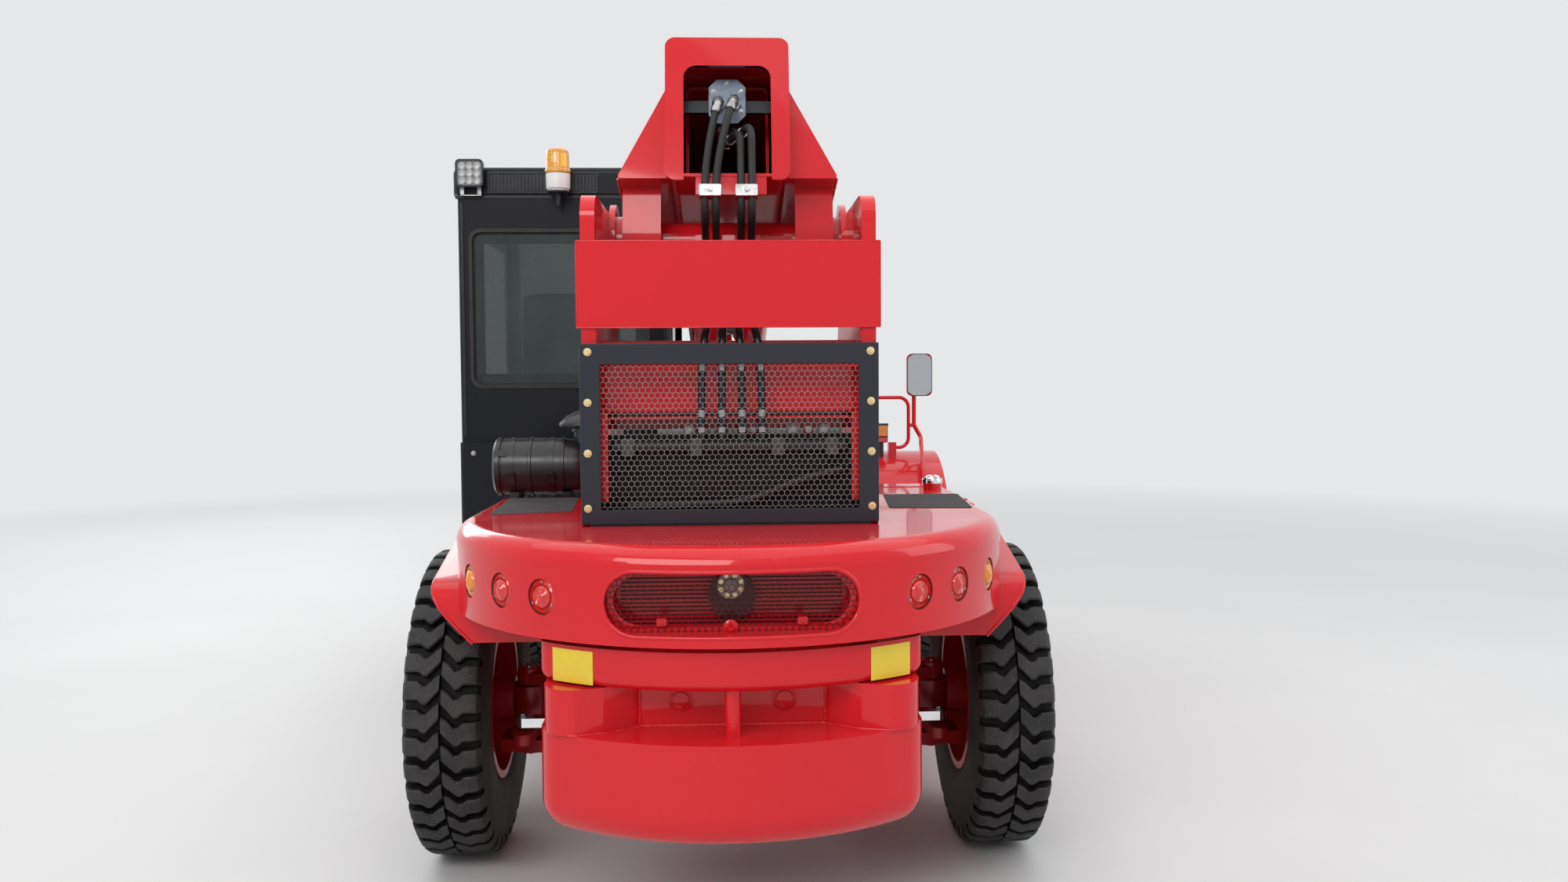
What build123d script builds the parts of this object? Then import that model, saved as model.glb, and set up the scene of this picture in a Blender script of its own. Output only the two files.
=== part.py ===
# Rough-terrain forklift with a three-section telescopic boom, seen in its parked state:
# boom in and down, forks level just above the ground, wheels straight.
# Millimetres, +Z up, +Y forward, +X to the driver's right. The ground is Z 0, and the
# origin lies under the middle of the overall length. Stations are distances ahead of the
# rear axle, heights are distances above the ground.
from build123d import *
from math import acos, asin, atan2, cos, degrees, hypot, pi, radians, sin, sqrt
import os

os.makedirs("parts", exist_ok=True)

# wheels
wheelbase = 2850
rear_od, rear_width, rear_tread, rear_track = 1018, 259, 204, 1776
front_od, front_width, front_tread, front_track = 1125, 315, 250, 2084
rim_bore = 508
rim_flange = 14
running_gap = 0.5
# frame and towers
tower_outer, frame_plate = 427, 42
tower_rear = -650
pivot_station, pivot_height = -100, 2045
tower_nose, tower_corner = 89, 70
tower_top = pivot_height + tower_nose
frame_top, frame_bottom, frame_arch = 1000, 460, 700
frame_front = wheelbase + 450
boss_r, boss_out, boss_cap_r, boss_cap_out = 126, 20, 88, 22
pivot_pin_r = 55
channel_low, channel_high = 1500, 1630
# boom
boom_slope = 12
boom_rise = 345
base_w, base_h, base_wall = 370, 450, 10
cap_lip, cap_thick, cap_window, cap_head = 10, 15, 274, 94
middle_w, middle_h, middle_wall = 320, 415, 10
inner_w, inner_h, inner_wall = 275, 365, 10
base_rear, base_front = -298, 3950
middle_rear, middle_front = -150, 4040
inner_rear, inner_front = -50, 4120
boom_stroke = 3000
pad_gap = 0.5
foot_in, foot_out, foot_r, foot_front = 215, 337, 155, 620
flange_low, flange_thick, flange_half, flange_rear = 140, 12, 345, -230
gusset_drop, gusset_thick = 110, 12
cross_tube_r = 68
hose_r, hose_plate_low, hose_t = 12, 62, -313
hose_x = (-72, -38, 40, 74)
hose_block_rear, hose_block_half, hose_block_m = 105, 105, -35
port_t, port_m = -130, 340
# lift cylinder
lift_base_station, lift_base_height = 500, 600
lug_t, lug_m = 1000, -25
lift_angle = 60
barrel_r, rod_r, eye_r, eye_half, lug_plate = 65, 38, 60, 44, 28
cylinder_pin_r = 30
lug_gap = 6
# head, carriage and forks
head_pin_station, head_pin_height = 4400, 620
head_plate = 30
tilt_base_station, tilt_base_height = 4110, 1480
lever_length, lever_angle = 220, 75
tilt_barrel_r, tilt_rod_r, tilt_eye_r = 48, 28, 45
carriage_back = 4560
carriage_half = 620
shaft_height, shaft_r = 1040, 35
fork_thick, fork_width, fork_length, fork_spread = 50, 150, 1070, 600
fork_face = 4650
fork_clearance = 25
# counterweight
weight_rear, weight_half, weight_bow, weight_round = -1200, 510, 187, 90
weight_low, weight_mid, band_low, band_high = 402, 678, 798, 903
neck_half, pocket_half, pocket_station = 497, 245, -997
band_rear, band_half, band_round = -1150, 512, 30
# rear hood
hood_rear, hood_half, hood_low, hood_top = -1180, 842, 920, 1175
hood_wall, hood_front, hood_round = 10, 200, 55
opening_w, opening_h, opening_z = 660, 166, 1029
lamp_r, lamp_z, lamp_set, lamp_depth = 48, 1030, 22, 22
# rear fenders
fender_top, fender_thick, fender_rear, fender_front = 1095, 8, -580, 560
fender_outer, fender_bend = 893, 60
fender_skin = fender_top + fender_thick
# front fenders
wing_gap, wing_thick, wing_outer, wing_skirt = 50, 10, 1175, 45
wing_radius = front_od / 2 + wing_gap
# cab
cab_left, cab_right, cab_rear, cab_front = -1150, -250, 1130, wheelbase - 270
cab_floor, cab_lip, cab_roof_low, cab_roof_top = frame_top, 1330, 2387, 2500
cab_wall, roof_lip = 40, 20
screen_knee, screen_lean = 1500, 90
cab_tub_rear, cab_nose_low, cab_floor_end = 1095, 1150, wheelbase - 480
glass_thick = 6
# rear board and grille
board_w, board_low, board_high, board_thick = 880, pivot_height - 300, pivot_height - 50, 8
grille_w, grille_low, grille_high, grille_thick = 862, 1180, 1700, 30
grille_open_w, grille_open_low, grille_open_high = 747, 1220, 1640
# steering
kingpin_x, steer_arm, steer_limit = 690, 190, 38
plate_low, plate_high, plate_thick, plate_half = 340, 558, 42, 784
rod_station = -168

# the overall length runs from the counterweight to the fork tips
fork_tip = fork_face + fork_length
rear_axle_y = -(fork_tip + weight_rear) / 2


def side(x=0.0):
    # looking along -X: station across, height up
    return Plane(origin=(x, rear_axle_y, 0), x_dir=(0, 1, 0), z_dir=(1, 0, 0))


def cross(station=0.0):
    # looking forward from behind: X across, height up, rearward normal
    return Plane(origin=(0, rear_axle_y + station, 0), x_dir=(1, 0, 0), z_dir=(0, -1, 0))


def plan(height=0.0):
    # looking down: X across, station up the page
    return Plane(origin=(0, rear_axle_y, height), x_dir=(1, 0, 0), z_dir=(0, 0, 1))


slope = radians(boom_slope)
pivot = Vector(0, rear_axle_y + pivot_station, pivot_height)
boom_dir = Vector(0, cos(slope), -sin(slope))
boom_up = Vector(0, sin(slope), cos(slope))


def boom_side(x=0.0):
    # the boom's own side view: distance along the boom from the pivot, and above it
    return Plane(origin=pivot + Vector(x, 0, 0), x_dir=boom_dir, z_dir=(1, 0, 0))


def boom_cross(t=0.0):
    # a section square to the boom, origin level with the pivot
    return Plane(origin=pivot + boom_dir * t, x_dir=(1, 0, 0), z_dir=-boom_dir)


def across(station, height, x=0.0):
    # a plane square to X whose origin is a station and a height
    return Plane(origin=(x, rear_axle_y + station, height), x_dir=(0, 1, 0), z_dir=(1, 0, 0))


def weight_outline(half, rear, bow):
    # straight sides and a rear face bowed in one arc
    with BuildSketch() as outline:
        with BuildLine():
            Polyline((half, rear + bow), (half, tower_rear), (-half, tower_rear), (-half, rear + bow))
            ThreePointArc((-half, rear + bow), (0, rear), (half, rear + bow))
        make_face()
    return outline.sketch


def save(node, piece):
    piece.part.label = node
    export_step(piece.part, f"parts/{node}.step")


# ------------------------------------------------------------------ wheels
# side, station, outside diameter, width, tread, track
wheel_table = (
    ("rear_left", -1, 0, rear_od, rear_width, rear_tread, rear_track),
    ("rear_right", 1, 0, rear_od, rear_width, rear_tread, rear_track),
    ("front_left", -1, wheelbase, front_od, front_width, front_tread, front_track),
    ("front_right", 1, wheelbase, front_od, front_width, front_tread, front_track),
)
bead = rim_bore / 2
lug_depth, lug_count, lug_fill, lug_split = 22, 24, 0.62, 6
for name, sign, station, od, width, tread, track in wheel_table:
    r = od / 2
    half, tread_half, rim_half = width / 2, tread / 2, width * 0.36
    centre = sign * track / 2
    spin = Axis((centre, rear_axle_y + station, r), (1, 0, 0))
    section = Plane(origin=(centre, rear_axle_y + station, r), x_dir=(1, 0, 0), z_dir=(0, -1, 0))
    with BuildPart() as tyre:
        with BuildSketch(section):
            with BuildLine():
                # sidewall in straight runs: half width, share of the way from bead to floor
                floor = r - lug_depth
                wall = [(rim_half, bead)]
                for reach, share in ((half - 7, 0.27), (half, 0.52), (half - 5, 0.76), (tread_half + 5, 1)):
                    wall.append((reach, bead + (floor - bead) * share))
                Polyline(*wall, *[(-reach, height) for reach, height in reversed(wall)], close=True)
            make_face()
        revolve(axis=spin)
        # two rows of lugs, half a pitch apart, joined by a thin band below their tips
        for row in (-1, 1):
            pitch = 360 / lug_count
            with BuildSketch(across(station, r, centre + row * (tread_half + lug_split) / 2)):
                with BuildLine():
                    teeth = []
                    for lug in range(lug_count):
                        middle = (lug + row / 4) * pitch
                        for turn, reach in ((-0.5, floor + 3), (0.5 - lug_fill, floor + 3), (0.5 - lug_fill, r), (0.5, r)):
                            angle = radians(middle + turn * pitch)
                            teeth.append((reach * cos(angle), reach * sin(angle)))
                    Polyline(*teeth, close=True)
                make_face()
                Circle(floor - 12, mode=Mode.SUBTRACT)
            extrude(amount=(tread_half - lug_split) / 2, both=True)
    save(f"tyre_{name}", tyre)
    # the disc sits outboard of the middle, so that the hub reaches into the wheel
    face = sign * width * 0.2
    with BuildPart() as rim:
        with BuildSketch(section):
            with BuildLine():
                Polyline(
                    (-rim_half, bead), (-rim_half - 10, bead), (-rim_half - 10, bead + rim_flange),
                    (-rim_half - 18, bead + rim_flange), (-rim_half - 18, bead - 10),
                    (face - 6, bead - 14), (face - 6, 70), (face + 6, 70), (face + 6, bead - 14),
                    (rim_half + 18, bead - 10), (rim_half + 18, bead + rim_flange),
                    (rim_half + 10, bead + rim_flange), (rim_half + 10, bead), close=True)
            make_face()
        revolve(axis=spin)
        with BuildSketch(across(station, r, centre + face - sign * 6)):
            Circle(120)
        extrude(amount=sign * 76)
    save(f"rim_{name}", rim)

# ------------------------------------------------------------------ frame and towers
plate_mid = tower_outer - frame_plate / 2
frame_inner = tower_outer - frame_plate
reach = hypot(480 - pivot_station, frame_top - pivot_height)
tangent = atan2(frame_top - pivot_height, 480 - pivot_station) + acos(tower_nose / reach)
with BuildPart() as chassis_frame:
    for sign in (-1, 1):
        with BuildSketch(side(sign * plate_mid)):
            with BuildLine():
                Polyline(
                    (tower_rear + tower_corner, tower_top), (pivot_station, tower_top),
                    (pivot_station + tower_nose * cos(tangent), pivot_height + tower_nose * sin(tangent)),
                    (480, frame_top), (frame_front - 40, frame_top), (frame_front, frame_top - 60),
                    (frame_front, frame_arch), (wheelbase - 450, frame_arch), (wheelbase - 560, frame_bottom),
                    (380, frame_bottom), (250, frame_arch), (tower_rear, frame_arch),
                    (tower_rear, tower_top - tower_corner))
                RadiusArc((tower_rear, tower_top - tower_corner), (tower_rear + tower_corner, tower_top), tower_corner)
            make_face()
            with Locations((pivot_station, pivot_height)):
                Circle(tower_nose)
        extrude(amount=frame_plate / 2, both=True)
        # stepped bosses on the inner faces, beside the boom's feet
        for radius, start, depth in ((boss_r, 0, boss_out), (boss_cap_r, boss_out, boss_cap_out)):
            with BuildSketch(across(pivot_station, pivot_height, sign * (frame_inner - start))):
                Circle(radius)
            extrude(amount=-sign * depth)
    # pivot pin through both towers
    with BuildSketch(across(pivot_station, pivot_height)):
        Circle(pivot_pin_r)
    extrude(amount=tower_outer, both=True)
    # cross members: station from, to, height from, to
    for start, end, low, high in (
        (tower_rear, tower_rear + 20, frame_arch, hood_top - 20),
        (-560, -545, channel_low, channel_high),
        (-545, -480, channel_low, channel_low + 15),
        (-545, -480, channel_high - 15, channel_high),
        (420, 580, frame_bottom, frame_bottom + 60),
        (wheelbase - 1350, wheelbase - 1230, frame_bottom, frame_bottom + 90),
        (wheelbase - 700, wheelbase - 580, frame_bottom, frame_bottom + 90),
        (frame_front - 90, frame_front - 10, frame_arch + 20, frame_top - 120),
    ):
        with BuildSketch(side()):
            with Locations(((start + end) / 2, (low + high) / 2)):
                Rectangle(end - start, high - low)
        extrude(amount=frame_inner, both=True)
    # ears for the lift cylinder
    for sign in (-1, 1):
        with BuildSketch(across(lift_base_station, lift_base_height, sign * (eye_half + lug_gap))):
            Circle(eye_r)
            with Locations((0, (frame_bottom + 50 - lift_base_height) / 2)):
                Rectangle(2 * eye_r, lift_base_height - frame_bottom - 50)
        extrude(amount=sign * lug_plate)
    with BuildSketch(across(lift_base_station, lift_base_height)):
        Circle(cylinder_pin_r)
    extrude(amount=eye_half + lug_gap + lug_plate, both=True)
save("chassis_frame", chassis_frame)

# ------------------------------------------------------------------ counterweight
with BuildPart() as weight_band:
    with BuildSketch(plan(band_low)):
        add(weight_outline(band_half, band_rear, weight_bow))
    extrude(amount=band_high - band_low)
    fillet(weight_band.edges().filter_by(Axis.Z).sort_by(Axis.Y)[:2], radius=band_round + 15)
    fillet(weight_band.faces().sort_by(Axis.Z)[0].edges().sort_by(Axis.Y)[:-1], radius=band_round)

with BuildPart() as counterweight:
    with BuildSketch(plan(weight_low)):
        add(weight_outline(weight_half, weight_rear, weight_bow))
    extrude(amount=weight_mid - weight_low)
    fillet(counterweight.edges().filter_by(Axis.Z).sort_by(Axis.Y)[:2], radius=weight_round + 10)
    fillet(counterweight.faces().sort_by(Axis.Z)[0].edges().sort_by(Axis.Y)[:-1], radius=weight_round)
    # neck with rounded cheeks either side of the towing pocket
    with BuildSketch(plan(weight_mid)):
        for sign in (-1, 1):
            cheek = pocket_station - 88
            with BuildLine():
                Polyline((sign * (neck_half - 87), cheek), (sign * (pocket_half + 92), cheek + 23),
                         (sign * pocket_half, pocket_station), (0, pocket_station), (0, tower_rear),
                         (sign * neck_half, tower_rear), (sign * neck_half, pocket_station))
                ThreePointArc((sign * neck_half, pocket_station), (sign * (neck_half - 25), cheek + 26),
                              (sign * (neck_half - 87), cheek))
            make_face()
    extrude(amount=band_low - weight_mid)
    add(weight_band.part)
    # towing pin, dropped through the band into the block
    with BuildSketch(plan(weight_mid - 30)):
        with Locations((0, weight_rear + 100)):
            Circle(21.5)
    extrude(amount=band_high - weight_mid + 30 - 5)
save("counterweight", counterweight)

# ------------------------------------------------------------------ rear hood
hood_centre = hood_rear + hood_half


def hood_outline(inset, front):
    # a half round behind and straight sides ahead of its centre
    half = hood_half - inset
    with BuildSketch() as outline:
        with BuildLine():
            Polyline((half, hood_centre), (half, front), (-half, front), (-half, hood_centre))
            ThreePointArc((-half, hood_centre), (0, hood_rear + inset), (half, hood_centre))
        make_face()
    return outline.sketch


# mesh plane, and the deep lip that carries the mesh behind the opening
mesh_station = hood_rear + 95
lamp_x = [sign * place for sign in (-1, 1) for place in (500, 626, 742)]
lamp_pot, pot_wall = 45, 6


def lamp_plane(x, depth):
    # square to the hood's round wall, at a depth inside its face
    swing = asin(x / hood_half)
    out = Vector(sin(swing), -cos(swing), 0)
    middle = Vector(0, rear_axle_y + hood_centre, lamp_z)
    return Plane(origin=middle + out * (hood_half - depth), x_dir=(cos(swing), sin(swing), 0), z_dir=out)


with BuildPart() as hood_lip:
    with BuildSketch(cross(mesh_station)):
        with Locations((0, opening_z)):
            SlotOverall(opening_w + 40, opening_h + 40)
            SlotOverall(opening_w, opening_h, mode=Mode.SUBTRACT)
    extrude(amount=mesh_station - hood_rear + 20)
    with BuildSketch(plan(hood_low)):
        add(hood_outline(0, hood_front))
    extrude(amount=hood_top - hood_low, mode=Mode.INTERSECT)

with BuildPart() as rear_hood:
    with BuildSketch(plan(hood_low)):
        add(hood_outline(0, hood_front))
    extrude(amount=hood_top - hood_low)
    rim_edges = rear_hood.faces().sort_by(Axis.Z)[-1].edges().sort_by(Axis.Y)[:-1]
    fillet(rim_edges, radius=hood_round)
    with BuildSketch(plan(hood_low)):
        add(hood_outline(hood_wall, hood_front + 50))
    extrude(amount=hood_top - hood_low - hood_wall - 30, mode=Mode.SUBTRACT)
    with BuildSketch(plan(hood_low)):
        add(hood_outline(hood_wall + 50, hood_front + 50))
    extrude(amount=hood_top - hood_low - hood_wall, mode=Mode.SUBTRACT)
    # the towers stand in a slot open to the front
    with BuildSketch(plan(hood_low)):
        with Locations((0, (tower_rear - 45 + hood_front) / 2 + 50)):
            Rectangle(2 * tower_outer + 2, hood_front - tower_rear + 45 + 100)
    extrude(amount=hood_top, mode=Mode.SUBTRACT)
    # over the wheels only the top remains, seated on the fenders
    with BuildSketch(side()):
        with Locations(((fender_rear - fender_thick + hood_front + 100) / 2, (hood_low + fender_skin) / 2 - 50)):
            Rectangle(hood_front - fender_rear + fender_thick + 100, fender_skin - hood_low + 100)
    extrude(amount=hood_half + 50, both=True, mode=Mode.SUBTRACT)
    # slotted opening for the cooler, and a pot round each lamp hole
    with BuildSketch(cross(hood_rear - 20)):
        with Locations((0, opening_z)):
            SlotOverall(opening_w, opening_h)
    extrude(amount=-200, mode=Mode.SUBTRACT)
    for place in lamp_x:
        with BuildSketch(lamp_plane(place, hood_wall / 2)):
            Circle(lamp_r + pot_wall)
        extrude(amount=hood_wall / 2 - lamp_pot)
        with BuildSketch(lamp_plane(place, -20)):
            Circle(lamp_r)
        extrude(amount=-lamp_pot - 40, mode=Mode.SUBTRACT)
    add(hood_lip.part)
save("rear_hood", rear_hood)

# mesh set against the lip
with BuildPart() as hood_grille:
    with BuildSketch(cross(mesh_station)):
        with Locations((0, opening_z)):
            SlotOverall(opening_w + 30, opening_h + 30)
            with HexLocations(31, 10, 2):
                RegularPolygon(27, 6, mode=Mode.SUBTRACT)
    extrude(amount=-4)
save("hood_grille", hood_grille)

# lamps set back in their pots, three each side
with BuildPart() as tail_lamps:
    for place in lamp_x:
        with BuildSketch(lamp_plane(place, lamp_set)):
            Circle(lamp_r)
        extrude(amount=-lamp_depth)
save("tail_lamps", tail_lamps)

# cooler with its fan behind the mesh, standing on the counterweight
cooler_rear = hood_rear + 180
with BuildPart() as radiator:
    with BuildSketch(cross(cooler_rear)):
        with Locations((0, (band_high + hood_top - 20) / 2)):
            Rectangle(opening_w + 20, hood_top - 20 - band_high)
    extrude(amount=-120)
    with BuildSketch(cross(cooler_rear)):
        with Locations((0, opening_z)):
            Circle(62)
    extrude(amount=30)
save("radiator", radiator)

# engine block between the towers, carried on two cross bearers
engine_low, engine_high = 740, 1380
with BuildPart() as engine:
    with BuildSketch(side()):
        with Locations((-120, (engine_low + engine_high) / 2)):
            Rectangle(900, engine_high - engine_low)
    extrude(amount=290, both=True)
    with BuildSketch(side()):
        with Locations((-400, 900), (160, 900)):
            Rectangle(80, 80)
    extrude(amount=frame_inner, both=True)
save("engine", engine)

# rear mesh in its frame
with BuildPart() as rear_grille:
    with BuildSketch(cross(tower_rear)):
        with Locations((0, (grille_low + grille_high) / 2)):
            Rectangle(grille_w, grille_high - grille_low)
        with Locations((0, (grille_open_low + grille_open_high) / 2)):
            Rectangle(grille_open_w, grille_open_high - grille_open_low, mode=Mode.SUBTRACT)
    extrude(amount=grille_thick)
    with BuildSketch(cross(tower_rear - 8)):
        with Locations((0, (grille_open_low + grille_open_high) / 2)):
            Rectangle(grille_open_w, grille_open_high - grille_open_low)
            with HexLocations(45, 8, 5):
                RegularPolygon(40, 6, mode=Mode.SUBTRACT)
    extrude(amount=6)
save("rear_grille", rear_grille)

# blank board above it
with BuildPart() as name_board:
    with BuildSketch(cross(tower_rear)):
        with Locations((0, (board_low + board_high) / 2)):
            Rectangle(board_w, board_high - board_low)
    extrude(amount=board_thick)
save("name_board", name_board)

# rear fenders: a bent sheet over each wheel, with its apron cut to a curve
apron_low, apron_corner = 820, 829
for name, sign in (("rear_fender_left", -1), ("rear_fender_right", 1)):
    with BuildPart() as fender:
        with BuildSketch(side(sign * tower_outer)):
            with BuildLine():
                Line((fender_rear, apron_low), (fender_rear, fender_top - fender_bend))
                RadiusArc((fender_rear, fender_top - fender_bend), (fender_rear + fender_bend, fender_top), fender_bend)
                Polyline((fender_rear + fender_bend, fender_top), (fender_front - 80, fender_top),
                         (fender_front, fender_top - 190))
                offset(amount=fender_thick, side=Side.LEFT)
            make_face()
        extrude(amount=sign * (fender_outer - tower_outer))
        with BuildSketch(cross(fender_rear - 20)):
            with BuildLine():
                ThreePointArc((sign * apron_corner, apron_low), (sign * 870, 906), (sign * fender_outer, 1005))
                Polyline((sign * fender_outer, 1005), (sign * (fender_outer + 20), 1005),
                         (sign * (fender_outer + 20), apron_low - 10), (sign * apron_corner, apron_low - 10),
                         (sign * apron_corner, apron_low))
            make_face()
        extrude(amount=-fender_bend - 60, mode=Mode.SUBTRACT)
    save(name, fender)

# front fenders: an arched sheet over each wheel with a skirt along its outer edge
wing_rear, wing_front = radians(158), radians(28)
for name, sign in (("front_fender_left", -1), ("front_fender_right", 1)):
    with BuildPart() as fender:
        for reach, start, width in (
            (wing_thick, tower_outer, wing_outer - tower_outer), (wing_skirt, wing_outer - wing_thick, wing_thick)):
            with BuildSketch(across(wheelbase, front_od / 2, sign * start)):
                with BuildLine():
                    spots = []
                    for radius in (wing_radius, wing_radius - reach):
                        low, high = (wing_rear, wing_front) if radius == wing_radius else (wing_front, wing_rear)
                        spots.append([(radius * cos(t), radius * sin(t)) for t in (low, (low + high) / 2, high)])
                    ThreePointArc(*spots[0])
                    Line(spots[0][2], spots[1][0])
                    ThreePointArc(*spots[1])
                    Line(spots[1][2], spots[0][0])
                make_face()
            extrude(amount=sign * width)
    save(name, fender)

# ------------------------------------------------------------------ right side
tank_rear, tank_front, tank_low, tank_top, tank_outer = 640, 1700, 560, 1090, 980
with BuildPart() as fuel_tank:
    with BuildSketch(side(tower_outer)):
        with Locations(((tank_rear + tank_front) / 2, (tank_low + tank_top) / 2)):
            RectangleRounded(tank_front - tank_rear, tank_top - tank_low, 60)
    extrude(amount=tank_outer - tower_outer)
    # filler neck near the outer edge
    with BuildSketch(plan(tank_top)):
        with Locations((tank_outer - 62, 1336)):
            Circle(42)
    extrude(amount=40)
save("fuel_tank", fuel_tank)

# left side: battery box carrying the cab, with two steps let into it
box_rear, box_front, box_low = cab_tub_rear + 30, wheelbase - 660, 620
with BuildPart() as battery_box:
    with BuildSketch(side(-tower_outer)):
        with BuildLine():
            Polyline((box_rear, cab_floor), (box_front, cab_floor), (box_front, box_low), (box_rear + 180, box_low),
                     (box_rear, box_low + 160), close=True)
        make_face()
    extrude(amount=tower_outer + cab_left)
    for height, tall, depth in ((box_low + 25, 170, 190), (box_low + 215, 140, 110)):
        with BuildSketch(side(cab_left)):
            with Locations(((box_rear + box_front) / 2 + 90, height + tall / 2)):
                Rectangle(520, tall)
        extrude(amount=depth, mode=Mode.SUBTRACT)
save("battery_box", battery_box)

# air cleaner lying across, with its intake
canister_r, canister_station, canister_height = 111, 450, 1272
with BuildPart() as air_cleaner:
    with BuildSketch(across(canister_station, canister_height, -876)):
        Circle(canister_r)
    extrude(amount=345)
    with BuildSketch(across(canister_station, canister_height, -531)):
        Circle(80)
    extrude(amount=531 - tower_outer)
    with BuildSketch(side(-860)):
        with Locations((canister_station - 40, (canister_height + fender_skin) / 2)):
            Rectangle(100, canister_height - fender_skin)
    extrude(amount=300)
    with BuildSketch(plan(canister_height)):
        with Locations((-540, canister_station)):
            Circle(45)
    extrude(amount=180)
    with BuildSketch(plan(canister_height + 150)):
        with Locations((-540, canister_station)):
            Circle(100)
    extrude(amount=65)
save("air_cleaner", air_cleaner)

# ------------------------------------------------------------------ axles
front_axle_h, rear_axle_h = front_od / 2, rear_od / 2
with BuildPart() as front_axle:
    with BuildSketch(across(wheelbase, front_axle_h, -880)):
        Circle(100)
    extrude(amount=1760)
    with BuildSketch(across(wheelbase, front_axle_h)):
        Circle(190)
    extrude(amount=150, both=True)
    hub_end = front_track / 2 + 0.2 * front_width - 6 - running_gap
    for sign in (-1, 1):
        with BuildSketch(across(wheelbase, front_axle_h, sign * 780)):
            Circle(165)
        extrude(amount=sign * (hub_end - 780))
        with BuildSketch(side(sign * (tower_outer - 60))):
            with Locations((wheelbase, (front_axle_h + frame_arch) / 2)):
                Rectangle(240, frame_arch - front_axle_h)
        extrude(amount=sign * 60)
save("front_axle", front_axle)

boss_reach, spindle_r, spindle_start = 45, 72, 50
with BuildPart() as steer_axle:
    # lower plate out to its tips, and an upper one out to its bosses
    for low, tip, end in ((plate_low, plate_half, 70), (plate_high, kingpin_x, boss_reach)):
        with BuildSketch(plan(low)):
            with BuildLine():
                Polyline((-tip, -end), (-360, -130), (360, -130), (tip, -end), (tip, end), (360, 130),
                         (-360, 130), (-tip, end), close=True)
            make_face()
            with Locations((-kingpin_x, 0), (kingpin_x, 0)):
                Circle(boss_reach)
        extrude(amount=plate_thick)
    with BuildSketch(side()):
        with Locations((40, (plate_low + plate_high + plate_thick) / 2)):
            Rectangle(120, plate_high - plate_low)
    extrude(amount=330, both=True)
    # block that joins the axle to the frame
    with BuildSketch(side()):
        with Locations((0, (plate_high + frame_arch) / 2 + 20)):
            Rectangle(200, frame_arch - plate_high)
    extrude(amount=frame_inner, both=True)
    for sign in (-1, 1):
        with BuildSketch(plan(plate_low - 15)):
            with Locations((sign * kingpin_x, 0)):
                Circle(30)
        extrude(amount=plate_high + plate_thick + 15 - plate_low + 15)
save("steer_axle", steer_axle)

for name, sign in (("knuckle_left", -1), ("knuckle_right", 1)):
    hub_end = rear_track / 2 + 0.2 * rear_width - 6 - running_gap
    with BuildPart() as knuckle:
        with BuildSketch(plan(plate_low + plate_thick + 3)):
            with Locations((sign * kingpin_x, 0)):
                Circle(62)
        extrude(amount=plate_high - plate_low - plate_thick - 6)
        with BuildSketch(across(0, rear_axle_h, sign * (kingpin_x + spindle_start))):
            Circle(spindle_r)
        extrude(amount=sign * (hub_end - kingpin_x - spindle_start))
        with BuildSketch(plan(plate_low + 60)):
            with BuildLine():
                Polyline((sign * (kingpin_x - 45), 0), (sign * (kingpin_x + 45), 0),
                         (sign * (kingpin_x + 30), -steer_arm), (sign * (kingpin_x - 30), -steer_arm), close=True)
            make_face()
            with Locations((sign * kingpin_x, -steer_arm)):
                Circle(30)
        extrude(amount=35)
        with BuildSketch(plan(plate_low + 10)):
            with Locations((sign * kingpin_x, 0)):
                Circle(30 + running_gap)
        extrude(amount=plate_high - plate_low, mode=Mode.SUBTRACT)
    save(name, knuckle)

# double-rod steering cylinder between the plates, its rod and links in one moving piece
rod_height = plate_low + 130
with BuildPart() as steer_cylinder:
    with BuildSketch(across(rod_station, rod_height, -230)):
        Circle(48)
        Circle(20 + running_gap, mode=Mode.SUBTRACT)
    extrude(amount=460)
    for x in (-200, 140):
        with BuildSketch(side(x)):
            with Locations(((rod_station + 40 - 20) / 2, rod_height)):
                Rectangle(-20 - rod_station - 40, 60)
        extrude(amount=60)
save("steer_cylinder", steer_cylinder)
with BuildPart() as steer_rod:
    with BuildSketch(across(rod_station, rod_height, -560)):
        Circle(20)
    extrude(amount=1120)
    for sign in (-1, 1):
        with BuildSketch(plan(rod_height - 15)):
            with Locations((sign * 610, rod_station)):
                SlotOverall(220, 56)
        extrude(amount=30)
save("steer_rod", steer_rod)

# ------------------------------------------------------------------ cab
# windows cut in it: width from, to, height from, to
rear_window = (cab_left + 60, cab_right - 100, 1573, 2228)
front_window = (cab_left + 40, cab_right - 60, screen_knee - 20, cab_roof_low - 57)
right_window = (cab_rear + 160, cab_front - 120, 1400, 2300)
door_rear, door_front, door_low, door_high = cab_rear + 290, cab_front - 200, cab_floor + 60, cab_roof_low - 42
door_window = (door_rear + 70, door_front - 70, 1300, 2290)
hinge_r, hinge_tall, hinge_heights = 10, 70, (1250, 2180)
hinge_x, hinge_station = cab_left - hinge_r - 2, door_rear - 5


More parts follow.
